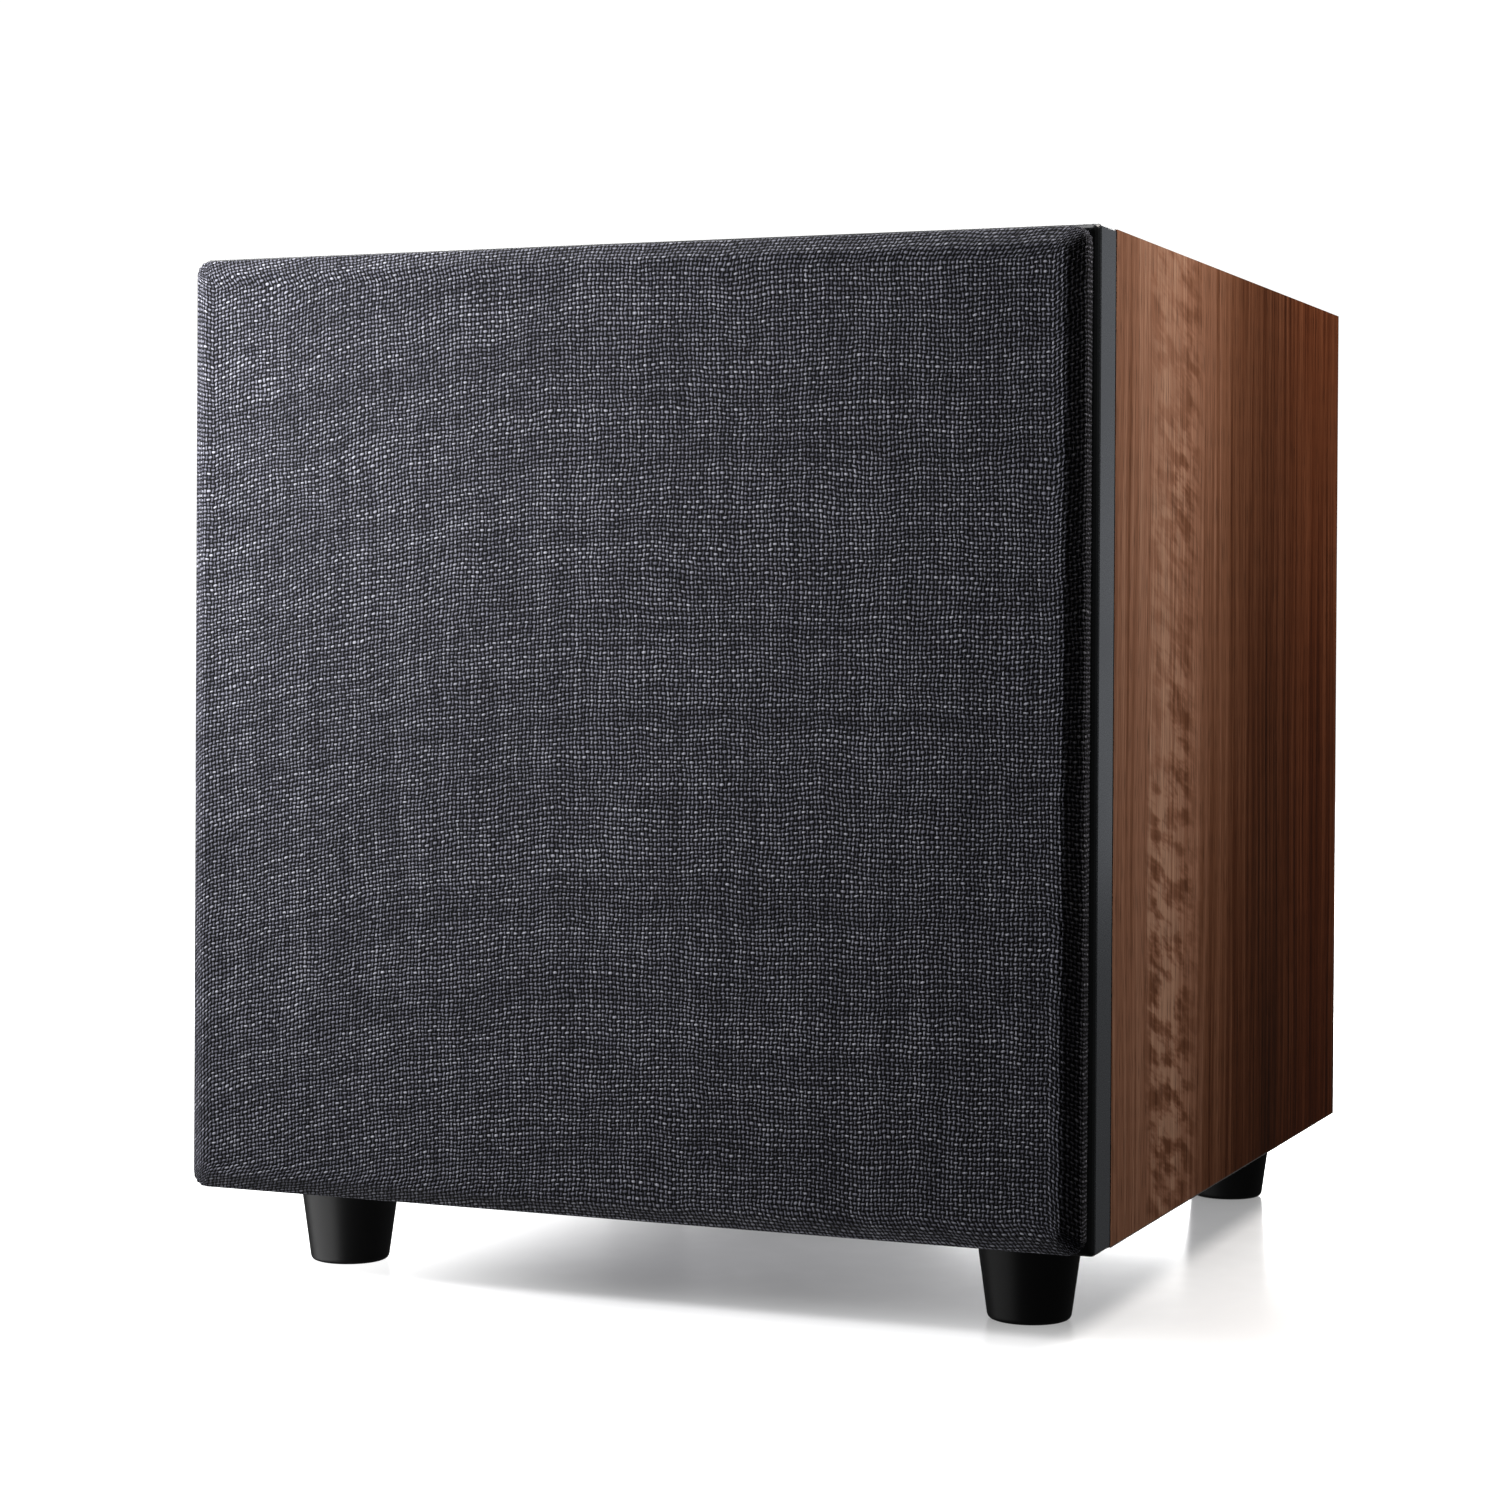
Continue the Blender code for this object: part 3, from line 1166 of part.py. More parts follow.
def fuse_drawer(amp):
    """The drawer under the socket: a lip to pull it by, and an open tray for the fuse."""
    face = FIT_GAP + MODULE_FLANGE_THICKNESS
    half_x, half_z = (side / 2 - DRAWER_GAP for side in DRAWER_WINDOW)
    z = MODULE_Z + DRAWER_Z
    inner = face - DRAWER_DEPTH + DRAWER_BACK_GAP
    body = block((-half_x, inner, z - half_z), (half_x, face + DRAWER_LIP, z + half_z))
    drawer = add("fuse_drawer", body, black_plastic(), amp)
    wall = DRAWER_WALL
    low = (-half_x + wall, inner + wall, z - half_z + wall)
    change(drawer, block(low, (half_x - wall, face - 3 * wall, z + half_z + wall)), parent=amp)


def speaker_wire():
    """The lead from the amplifier to the woofer's tag strip, through a window of the brace."""
    start = (0.0, Y_BAFFLE + TERMINAL_DEPTH[1] + 3 * FIT_GAP, Z_MIDDLE + TERMINAL_TOP - WIRE_BELOW_TAG)
    route = [
        start,
        *((x, start[1] + along, start[2] + rise) for x, along, rise in WIRE_BENDS),
        (WIRE_BRACE[0], Y_WOOD + BRACE_FROM_WOOD, Z_MIDDLE + WIRE_BRACE[1]),
        (WIRE_SAG[0], Y_WOOD + WIRE_SAG[1], Z_MIDDLE + WIRE_SAG[2]),
        (WIRE_LAST_BEND[0], HOUSING_FRONT - WIRE_LAST_BEND[1], Z_MIDDLE + WIRE_END[1]),
        (WIRE_END[0], HOUSING_FRONT - 2 * FIT_GAP, Z_MIDDLE + WIRE_END[1]),
    ]
    points = [Vector(point) for point in route]
    ends = [2 * points[0] - points[1], *points, 2 * points[-1] - points[-2]]
    smooth = []
    for before, here, after, beyond in zip(ends, ends[1:], ends[2:], ends[3:]):
        for step in range(4):
            t = step / 4
            smooth.append(
                0.5 * (2 * here + (after - before) * t + (2 * before - 5 * here + 4 * after - beyond) * t * t
                       + (3 * here - before - 3 * after + beyond) * t ** 3)
            )
    smooth.append(points[-1])
    curve = bpy.data.curves.new("speaker_wire", "CURVE")
    curve.dimensions = "3D"
    curve.bevel_depth = WIRE_RADIUS
    curve.bevel_resolution = 1
    curve.use_fill_caps = True
    spline = curve.splines.new("POLY")
    spline.points.add(len(smooth) - 1)
    for point, place in zip(spline.points, smooth):
        point.co = (*place, 1)
    curve.materials.append(material("wire_jacket", (0.35, 0.02, 0.02), 0.5))
    bpy.context.scene.collection.objects.link(bpy.data.objects.new("speaker_wire", curve))


# ---- Assembly ----------------------------------------------------------------------------------------
def main():
    for obj in list(bpy.data.objects):
        bpy.data.objects.remove(obj)
    woofer_axis = axis_empty("woofer_axis", (0, Y_BAFFLE, Z_MIDDLE), (-math.pi / 2, 0, 0))
    grille_origin = axis_empty("grille_origin", (0, Y_GRILLE, Z_MIDDLE))
    amp = axis_empty("amplifier_origin", (0, Y_PLATE_OUTER, Z_MIDDLE))

    wooden_panels()
    back_panel()
    window_brace()
    front_baffle(woofer_axis)
    feet()
    grille(grille_origin)
    grille_cups(woofer_axis)

    for piece in (
        woofer_basket, woofer_gasket, woofer_surround, woofer_cone, woofer_dust_cap, voice_coil,
        woofer_spider, magnet_system, woofer_terminal, woofer_screws,
    ):
        piece(woofer_axis)

    port()
    wadding()
    for piece in (
        amplifier_plate, amplifier_gasket, amplifier_housing, circuit_board, power_supply, status_light,
        mains_module, mains_rocker, fuse_drawer,
    ):
        piece(amp)
    control_knob("volume", 1, amp)
    control_knob("crossover", -1, amp)
    slide_lever("phase_lever", SWITCH_X - PHASE_TRAVEL / 2, amp)
    slide_lever("power_lever", -SWITCH_X, amp)
    input_jack("input_jack_left", JACK_X, (0.85, 0.85, 0.83), amp)
    input_jack("input_jack_right", -JACK_X, (0.6, 0.03, 0.03), amp)
    speaker_wire()


main()
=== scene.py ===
"""The looks of the subwoofer: woven grille cloth, walnut veneer, lacquer, rubber, the woofer's soft parts and
the fittings on the rear plate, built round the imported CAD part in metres."""

import math

import bmesh
import bpy
from mathutils import Matrix, Vector, noise
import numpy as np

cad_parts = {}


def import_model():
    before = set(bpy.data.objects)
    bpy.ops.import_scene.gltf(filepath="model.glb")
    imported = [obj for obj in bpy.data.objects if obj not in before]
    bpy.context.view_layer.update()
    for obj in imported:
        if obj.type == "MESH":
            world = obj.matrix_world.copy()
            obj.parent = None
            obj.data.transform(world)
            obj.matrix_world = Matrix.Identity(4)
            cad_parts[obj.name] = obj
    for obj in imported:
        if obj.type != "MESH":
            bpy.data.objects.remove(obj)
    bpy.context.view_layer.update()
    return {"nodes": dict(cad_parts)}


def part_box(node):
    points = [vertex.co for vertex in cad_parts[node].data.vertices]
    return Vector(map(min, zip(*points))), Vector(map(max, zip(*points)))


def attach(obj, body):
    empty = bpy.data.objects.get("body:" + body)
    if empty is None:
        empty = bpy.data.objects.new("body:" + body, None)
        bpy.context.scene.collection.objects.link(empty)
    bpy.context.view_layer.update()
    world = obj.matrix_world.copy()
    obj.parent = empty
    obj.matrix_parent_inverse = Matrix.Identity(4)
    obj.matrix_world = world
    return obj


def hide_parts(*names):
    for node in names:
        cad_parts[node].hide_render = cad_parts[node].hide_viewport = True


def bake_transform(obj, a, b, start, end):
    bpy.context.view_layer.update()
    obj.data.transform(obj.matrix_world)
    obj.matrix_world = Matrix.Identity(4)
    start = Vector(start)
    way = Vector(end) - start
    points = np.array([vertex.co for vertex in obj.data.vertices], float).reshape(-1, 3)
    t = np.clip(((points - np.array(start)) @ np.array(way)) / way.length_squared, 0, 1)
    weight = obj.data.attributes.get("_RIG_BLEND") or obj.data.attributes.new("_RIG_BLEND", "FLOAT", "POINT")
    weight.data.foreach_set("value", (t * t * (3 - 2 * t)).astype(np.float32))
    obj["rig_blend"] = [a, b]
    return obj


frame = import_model()

# ---- Places, from the CAD ----------------------------------------------------------------------------
CLOTH_LOW, CLOTH_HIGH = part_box("grille_cloth")
SIDE_LOW, SIDE_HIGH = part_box("cabinet_side_right")
PLATE_LOW, PLATE_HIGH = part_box("amplifier_plate")
MODULE_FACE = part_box("mains_inlet")[1][1]
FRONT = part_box("front_baffle")[0][1]  # front plane of the baffle
PLATE = PLATE_HIGH[1]  # outer face of the amplifier's plate
CABINET_SIDE = 2 * SIDE_HIGH[0]
MIDDLE = (SIDE_LOW[2] + SIDE_HIGH[2]) / 2
FEET = ("foot_front_left", "foot_front_right", "foot_rear_left", "foot_rear_right")

# ---- The cloth and its weave -------------------------------------------------------------------------
CLOTH_THICKNESS = 0.0007
CHAMFER_WIDTH = 0.006
CHAMFER_DEPTH = 0.0045
HEM_WIDTH = 0.010
FACE_CORNER = 0.0022  # corner radius at the edge of the flat face
CORNER_GROWTH = 0.003  # how much wider the corners' radius gets by the outer side
FACE_RIPPLE = 0.00012
GATHERS, GATHER_DEPTH = 18, 0.00022  # folds where the cloth turns a corner
WARP_PITCH = 0.00146
WEFT_PITCH = 0.00150
WARP_WIDTH, WEFT_WIDTH = 0.52, 0.60  # share of the pitch that a yarn covers
SLUB_SWING = 0.36  # how far thick and thin places change a yarn's width and tone
CRIMP, CROWN = 0.38, 0.62  # shares of the height from going over and under, and from the yarn's roundness
BOW_REACH = 0.17  # metres from the left-hand edge over which the weft climbs
BOW_SLOPE = 0.27

# ---- Zones of the veneer: metres behind the cabinet's middle, across the grain -----------------------
PALE_ZONE = (-0.145, -0.110)
HEART_ZONE = (-0.094, 0.045)
REAR_ZONE = (0.045, 0.130)
RIPPLE_START = (-0.120, -0.104)
RIPPLE_END = (-0.040, -0.078)

# ---- Small fits --------------------------------------------------------------------------------------
SEAT = 0.00005  # a screw head's lift off the face it sits on
RING_STEPS = 144  # round the woofer's rings
PAPER = 0.0012  # thickness of the cone and the dust cap


def middle_of(node):
    low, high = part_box(node)
    return tuple((a + b) / 2 for a, b in zip(low, high))


# ---- Node trees --------------------------------------------------------------------------------------
class Graph:
    """A material and short ways to add nodes to it. Plain numbers go on sockets, and sockets are linked."""

    def __init__(self, name, **settings):
        self.material = bpy.data.materials.new(name)
        self.material.use_nodes = True
        self.nodes = self.material.node_tree.nodes
        self.links = self.material.node_tree.links
        self.shader = self.nodes["Principled BSDF"]
        self.set(self.shader, {key.replace("_", " "): value for key, value in settings.items()})

    def set(self, node, inputs):
        for key, value in inputs.items():
            socket = node.inputs[key]
            if isinstance(value, bpy.types.NodeSocket):
                self.links.new(value, socket)
            elif isinstance(value, tuple) and len(value) == 3 and len(socket.default_value) == 4:
                socket.default_value = (*value, 1.0)
            else:
                socket.default_value = value

    def add(self, kind, inputs=None, **properties):
        node = self.nodes.new("ShaderNode" + kind)
        for key, value in properties.items():
            setattr(node, key, value)
        self.set(node, inputs or {})
        return node

    def math(self, operation, *values, clamp=False):
        node = self.add("Math", dict(enumerate(values)), operation=operation, use_clamp=clamp)
        return node.outputs[0]

    def times(self, a, b):
        return self.math("MULTIPLY", a, b)

    def plus(self, a, b):
        return self.math("ADD", a, b)

    def range(self, value, low, high, to_low=0.0, to_high=1.0, smooth=True):
        node = self.add(
            "MapRange",
            {"Value": value, "From Min": low, "From Max": high, "To Min": to_low, "To Max": to_high},
            interpolation_type="SMOOTHSTEP" if smooth else "LINEAR",
        )
        return node.outputs["Result"]

    def mix(self, factor, a, b, blend="MIX"):
        node = self.add("Mix", data_type="RGBA", blend_type=blend)
        self.set(node, {0: factor})
        for index, value in ((6, a), (7, b)):
            if isinstance(value, bpy.types.NodeSocket):
                self.links.new(value, node.inputs[index])
            else:
                node.inputs[index].default_value = (*value, 1.0)
        return node.outputs[2]

    def place(self):
        """The x, y and z of a point on the object, in metres."""
        node = self.add("SeparateXYZ", {0: self.add("TexCoord").outputs["Object"]})
        return node.outputs[0], node.outputs[1], node.outputs[2]

    def vector(self, x, y, z=0.0):
        return self.add("CombineXYZ", {0: x, 1: y, 2: z}).outputs[0]

    def noise(self, vector, scale=1.0, detail=2.0, roughness=0.5):
        inputs = {"Vector": vector, "Scale": scale, "Detail": detail, "Roughness": roughness}
        return self.add("TexNoise", inputs).outputs[0]

    def random(self, value):
        return self.add("TexWhiteNoise", {"W": value}, noise_dimensions="1D").outputs["Value"]

    def bump(self, height, distance, strength=1.0, after=None):
        inputs = {"Height": height, "Distance": distance, "Strength": strength}
        if after:
            inputs["Normal"] = after
        return self.add("Bump", inputs).outputs[0]

    def finish(self, **sockets):
        self.set(self.shader, {key.replace("_", " "): value for key, value in sockets.items()})
        return self.material


def woven_cloth():
    """Coarse plain weave of uneven melange yarn, over UVs that are metres along the two threads, with painted
    shade down the yarns' flanks and in the holes.
    """
    g = Graph("grille_weave", Roughness=0.8, Sheen_Weight=0.04, Sheen_Roughness=0.5)
    g.shader.inputs["Specular IOR Level"].default_value = 0.2
    uv = g.add("SeparateXYZ", {0: g.add("UVMap", uv_map="weave").outputs[0]})
    u, v = uv.outputs[0], uv.outputs[1]
    # The weft climbs from the left-hand edge and levels off at the reach, and both threads wander.
    run = g.math("MINIMUM", g.math("MAXIMUM", g.plus(u, 0.165), 0.0), BOW_REACH)
    fall = g.times(g.math("POWER", run, 3.0), 1 / (3 * BOW_REACH**2))
    rise = g.times(g.math("SUBTRACT", run, fall), BOW_SLOPE)

    def wander(scale, reach, seed):
        where = g.vector(u, v, seed)
        return g.times(g.math("SUBTRACT", g.noise(where, scale, 1.0), 0.5), reach)

    weft_wander = g.plus(wander(30.0, 0.0050, 1.0), wander(150.0, 0.0015, 2.0))
    weft_place = g.plus(g.math("SUBTRACT", v, rise), weft_wander)
    warp_place = g.plus(u, g.plus(wander(24.0, 0.0030, 3.0), wander(150.0, 0.0015, 4.0)))
    s, t = g.times(warp_place, 1 / WARP_PITCH), g.times(weft_place, 1 / WEFT_PITCH)
    s_thread, t_thread = g.math("FLOOR", s), g.math("FLOOR", t)
    crossing = g.add("TexWhiteNoise", {"Vector": g.vector(s_thread, t_thread)}, noise_dimensions="2D")

    def yarn(across, along, thread, other, sign, seed, width):
        """Height and tone of one set of threads, over where sign times the wave is above 0."""
        slub = g.noise(g.vector(g.times(thread, 3.7), g.times(along, 0.055), seed), 1.0, 2.0)
        half = g.plus(g.times(slub, SLUB_SWING), width - SLUB_SWING / 2)
        off_centre = g.math("SUBTRACT", g.times(g.math("FRACT", across), 2.0), 1.0)
        share = g.math("POWER", g.math("DIVIDE", g.math("ABSOLUTE", off_centre), half), 2.0)
        body = g.math("SQRT", g.math("MAXIMUM", g.math("SUBTRACT", 1.0, share), 0.0))
        wave = g.math("COSINE", g.times(g.plus(g.plus(along, -0.5), other), math.pi))
        gap = g.times(g.math("LESS_THAN", body, 0.02), -2.0)
        height = g.plus(g.plus(g.times(wave, CRIMP * sign), g.times(body, CROWN)), gap)
        own = g.random(g.plus(thread, seed))
        spots = g.times(crossing.outputs["Value"], 0.38)
        tone = g.plus(g.times(own, 0.31), g.plus(g.times(slub, SLUB_SWING), spots))
        return height, tone

    warp_height, warp_tone = yarn(s, t, s_thread, s_thread, 1, 11.0, WARP_WIDTH)
    weft_height, weft_tone = yarn(t, s, t_thread, t_thread, -1, 57.0, WEFT_WIDTH)
    upper = g.math("GREATER_THAN", weft_height, warp_height)
    height = g.math("MAXIMUM", g.math("MAXIMUM", warp_height, weft_height), -0.8)
    weft_tone = g.plus(weft_tone, 0.16)
    tone = g.plus(g.times(weft_tone, upper), g.times(warp_tone, g.math("SUBTRACT", 1.0, upper)))
    bands = g.plus(
        g.noise(g.vector(g.times(s, 0.14), g.times(t, 0.011)), 1.0, 2.0),
        g.noise(g.vector(g.times(s, 0.011), g.times(t, 0.14), 5.0), 1.0, 2.0),
    )
    tone = g.plus(tone, g.times(g.plus(bands, -1.0), 0.30))
    ramp = g.add("ValToRGB", {"Fac": g.range(tone, 0.23, 1.14, smooth=False)})
    stops = ((0.0, (0.085, 0.085, 0.112)), (0.5, (0.28, 0.28, 0.345)), (1.0, (0.72, 0.72, 0.82)))
    ramp.color_ramp.elements.new(0.5)
    for element, (position, colour) in zip(ramp.color_ramp.elements, stops):
        element.position = position
        element.color = (*colour, 1)
    # Painted shade: the yarn darkens down its flanks by its height, as the shadow between the threads would.
    # In the holes it goes near black, which stands partly for the dark cabinet behind the open weave and
    # partly for shade.
    depth = g.range(height, 0.42, 1.0)
    colour = g.mix(depth, (0.0012, 0.0012, 0.002), ramp.outputs[0])
    return g.finish(Base_Color=colour, Normal=g.bump(height, 0.0005, 1.0))


def walnut(name, along, across, shade=0.0):
    """Straight-grained walnut: pale at the front, darker behind, with a rippled band, and a plain grey
    backing under the cabinet. Axes are 0, 1 or 2, and shade is painted shade: it darkens the lower end of the
    grain, less near the front edge, as if less light reached there."""
    g = Graph(name, Roughness=0.5)
    g.shader.inputs["Specular IOR Level"].default_value = 0.09
    place = g.place()
    l, c = place[along], place[across]
    drift = g.noise(g.vector(g.times(c, 5.0), g.times(l, 2.6)), 1.0, 2.0)
    c = g.plus(c, g.times(g.math("SUBTRACT", drift, 0.5), 0.020))

    def streaks(across_scale, along_scale, detail, seed=0.0):
        where = g.vector(g.times(c, across_scale), g.times(l, along_scale), seed)
        return g.math("SUBTRACT", g.noise(where, 1.0, detail, 0.6), 0.5)

    front = g.range(c, *PALE_ZONE)
    heart = g.range(c, *HEART_ZONE, smooth=False)
    rear = g.range(c, *REAR_ZONE)
    tone = g.plus(g.times(front, 0.12), g.plus(g.times(heart, -0.53), g.times(rear, 0.05)))
    tone = g.plus(tone, 0.66)
    tone = g.plus(tone, g.times(streaks(50.0, 1.2, 3.0), 0.42))
    tone = g.plus(tone, g.times(streaks(240.0, 3.2, 2.0, 5.0), 0.72))
    tone = g.plus(tone, g.times(streaks(820.0, 9.0, 2.0, 9.0), 0.60))
    # Painted shade: the lower end of the panel is made darker, as if less lit, not because the wood is darker
    # there.
    lower = g.times(g.range(l, 0.30, 0.04, smooth=False), g.range(c, -0.16, -0.02))
    tone = g.plus(tone, g.times(lower, -shade))
    # Ripple figure: flat bars that slant down towards the rear, in a band along the grain.
    slant = g.plus(l, g.times(c, 0.30))
    bars = g.noise(g.vector(g.times(slant, 160.0), g.times(c, 48.0), g.times(l, 4.0)), 1.0, 3.0, 0.6)
    band = g.times(g.range(c, *RIPPLE_START), g.range(c, *RIPPLE_END))
    clouds = g.noise(g.vector(g.times(c, 14.0), g.times(l, 11.0), 3.0), 1.0, 1.0)
    patch = g.range(clouds, 0.30, 0.62)
    swing = g.plus(g.times(g.range(bars, 0.36, 0.60), 0.40), -0.19)
    tone = g.plus(tone, g.times(g.times(swing, band), g.plus(patch, 0.25)))
    ramp = g.add("ValToRGB", {"Fac": tone})
    stops = (
        (0.0, (0.022, 0.0062, 0.0022)),
        (0.22, (0.082, 0.024, 0.0085)),
        (0.48, (0.185, 0.073, 0.036)),
        (0.75, (0.345, 0.165, 0.100)),
        (1.0, (0.52, 0.30, 0.20)),
    )
    elements = ramp.color_ramp.elements
    for position, _ in stops[1:-1]:
        elements.new(position)
    for element, (position, colour) in zip(elements, stops):
        element.position = position
        element.color = (*colour, 1)
    pores = g.noise(g.vector(g.times(c, 2200.0), g.times(l, 75.0)), 1.0, 1.0)
    dark = g.range(pores, 0.30, 0.48, 0.50, 1.0)
    colour = g.mix(1.0, ramp.outputs[0], g.vector(dark, dark, dark), "MULTIPLY")
    rough = g.range(pores, 0.3, 0.7, 0.56, 0.46)
    colour = g.mix(rear, colour, g.mix(1.0, colour, (1.06, 0.88, 0.74), "MULTIPLY"))
    below = g.range(place[2], SIDE_LOW[2] + 0.0002, SIDE_LOW[2] + 0.0006, 1.0, 0.0)
    backing = g.mix(streaks(90.0, 90.0, 3.0), (0.13, 0.13, 0.135), (0.18, 0.18, 0.185))
    colour = g.mix(below, colour, backing)
    return g.finish(Base_Color=colour, Roughness=rough, Normal=g.bump(dark, 0.00005, 0.5))


def mottled(name, colour, roughness, spread=0.12, grain=900.0, depth=0.00003, bump=0.4, metallic=0.0):
    """A near-even finish: slow and fine changes of tone, uneven gloss and a fine relief."""
    g = Graph(name, Metallic=metallic)
    x, y, z = g.place()
    where = g.vector(x, y, z)
    slow = g.noise(where, 14.0, 3.0)
    fine = g.noise(where, grain, 2.0, 0.6)
    dim = tuple(value * (1 - spread) for value in colour)
    lit = tuple(min(1.0, value * (1 + spread)) for value in colour)
    blend = g.plus(g.times(slow, 0.6), g.times(fine, 0.4))
    both = g.plus(g.times(slow, 0.5), g.times(fine, 0.5))
    rough = g.range(both, 0.3, 0.7, roughness * 0.88, roughness * 1.12)
    return g.finish(Base_Color=g.mix(blend, dim, lit), Roughness=rough, Normal=g.bump(fine, depth, bump))


def brushed(name, colour, roughness, axis):
    """Turned or drawn metal with lines across one axis."""
    g = Graph(name, Metallic=1.0)
    place = g.place()
    scales = [g.times(value, 2500.0 if i == axis else 60.0) for i, value in enumerate(place)]
    lines = g.noise(g.vector(*scales), 1.0, 2.0, 0.6)
    dim = tuple(value * 0.85 for value in colour)
    rough = g.range(lines, 0.3, 0.7, roughness * 0.8, roughness * 1.2)
    return g.finish(Base_Color=g.mix(lines, dim, colour), Roughness=rough, Normal=g.bump(lines, 0.00001, 0.4))


def board_material(name):
    """Raw fibreboard, with darker faces and fibres."""
    g = Graph(name, Roughness=0.85)
    x, y, z = g.place()
    where = g.vector(x, y, z)
    fibres = g.noise(where, 1800.0, 3.0, 0.7)
    clouds = g.noise(where, 60.0, 3.0, 0.6)
    blend = g.plus(g.times(fibres, 0.6), g.times(clouds, 0.4))
    colour = g.mix(blend, (0.20, 0.125, 0.065), (0.46, 0.32, 0.19))
    return g.finish(Base_Color=colour, Normal=g.bump(fibres, 0.00012, 0.6))


def paper_pulp(name, colour):
    """Pressed pulp: short fibres and faint rings."""
    g = Graph(name, Roughness=0.78)
    x, y, z = g.place()
    radius = g.math("SQRT", g.plus(g.math("POWER", x, 2.0), g.math("POWER", g.plus(z, -MIDDLE), 2.0)))
    rings = g.noise(g.vector(g.times(radius, 420.0), 0.0, 0.0), 1.0, 1.0)
    fibres = g.noise(g.vector(x, y, z), 1400.0, 3.0, 0.7)
    blend = g.plus(g.times(rings, 0.35), g.times(fibres, 0.65))
    dim, lit = tuple(value * 0.6 for value in colour), tuple(value * 1.6 for value in colour)
    return g.finish(Base_Color=g.mix(blend, dim, lit), Normal=g.bump(blend, 0.0002, 0.7))


def spider_weave(name):
    """Resin-dipped open cloth."""
    g = Graph(name, Roughness=0.75)
    x, y, z = g.place()
    across = g.math("ABSOLUTE", g.math("SINE", g.times(x, 3200.0)))
    along = g.math("ABSOLUTE", g.math("SINE", g.times(z, 3200.0)))
    weave = g.math("MAXIMUM", across, along)
    colour = g.mix(weave, (0.22, 0.12, 0.03), (0.68, 0.46, 0.16))
    return g.finish(Base_Color=colour, Normal=g.bump(weave, 0.0002, 0.6))


def wound_tape(name):
    """Overlapping turns of tape round a ring."""
    g = Graph(name, Roughness=0.35)
    x, y, z = g.place()
    low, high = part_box("transformer")
    angle = g.math("ARCTAN2", g.plus(z, -(low[2] + high[2]) / 2), g.plus(x, -(low[0] + high[0]) / 2))
    turns = g.math("FRACT", g.times(g.plus(angle, g.times(y, 12.0)), 5.0))
    colour = g.mix(turns, (0.55, 0.38, 0.05), (0.85, 0.66, 0.16))
    return g.finish(Base_Color=colour, Normal=g.bump(turns, 0.0003, 0.6))


M = {
    "cloth": woven_cloth(),
    "walnut_side": walnut("walnut_side", 2, 1, 0.12),
    "walnut_cap": walnut("walnut_cap", 0, 1),
    "board": board_material("raw_board"),
    "lacquer": mottled("satin_black_lacquer", (0.010, 0.012, 0.014), 0.27, 0.10, 1200.0, 0.000004, 0.2),
    "plastic": mottled("black_plastic", (0.016, 0.016, 0.018), 0.48, 0.15, 2200.0, 0.00003, 0.5),
    "port": mottled("port_plastic", (0.012, 0.012, 0.013), 0.38, 0.12, 1600.0, 0.00002, 0.4),
    "rubber": mottled("foot_rubber", (0.014, 0.014, 0.015), 0.42, 0.15, 1500.0, 0.00003, 0.4),
    "soft_rubber": mottled("surround_rubber", (0.012, 0.012, 0.012), 0.55, 0.15, 1800.0, 0.00003, 0.4),
    "powder": mottled("powder_coat", (0.020, 0.020, 0.022), 0.55, 0.25, 3200.0, 0.00009, 0.7),
    "basket": mottled("basket_paint", (0.022, 0.022, 0.024), 0.42, 0.2, 1200.0, 0.00004, 0.5),
    "black_steel": mottled("black_oxide", (0.025, 0.025, 0.027), 0.34, 0.2, 2500.0, 0.00002, 0.4, 0.85),
    "steel": brushed("zinc_steel", (0.62, 0.62, 0.64), 0.32, 1),
    "nickel": brushed("nickel", (0.72, 0.68, 0.60), 0.22, 1),
    "foil": brushed("former_foil", (0.78, 0.78, 0.80), 0.3, 1),
    "copper": brushed("copper_wire", (0.80, 0.36, 0.17), 0.35, 1),
    "paper": paper_pulp("cone_pulp", (0.016, 0.016, 0.018)),
    "cap": mottled("dust_cap_coat", (0.014, 0.014, 0.015), 0.36, 0.15, 900.0, 0.00004, 0.4),
    "spider": spider_weave("spider_cloth"),
    "ferrite": mottled("ferrite", (0.055, 0.055, 0.058), 0.6, 0.2, 500.0, 0.00008, 0.5),
    "fibre": mottled("polyester_fibre", (0.74, 0.74, 0.71), 0.95, 0.15, 700.0, 0.001, 0.8),
    "foam": mottled("gasket_foam", (0.03, 0.03, 0.031), 0.9, 0.3, 2500.0, 0.0002, 0.8),
    "board_green": mottled("solder_mask", (0.016, 0.10, 0.040), 0.35, 0.25, 800.0, 0.00003, 0.4),
    "tape": wound_tape("transformer_tape"),
    "sleeve": mottled("capacitor_sleeve", (0.018, 0.028, 0.10), 0.3, 0.15, 600.0, 0.00002, 0.3),
    "white": mottled("white_ring", (0.78, 0.77, 0.73), 0.4, 0.06, 1500.0, 0.00002, 0.3),
    "red": mottled("red_ring", (0.55, 0.022, 0.020), 0.4, 0.1, 1500.0, 0.00002, 0.3),
    "wire": mottled("wire_jacket", (0.33, 0.018, 0.016), 0.5, 0.1, 1200.0, 0.00003, 0.3),
    "print": mottled("pale_print", (0.62, 0.62, 0.62), 0.6, 0.08, 1800.0, 0.00002, 0.2),
    "lens": mottled("status_lens", (0.05, 0.42, 0.10), 0.15, 0.2, 400.0, 0.00001, 0.2),
    "glass": mottled("fuse_glass", (0.75, 0.78, 0.76), 0.12, 0.05, 300.0, 0.00001, 0.1),
}


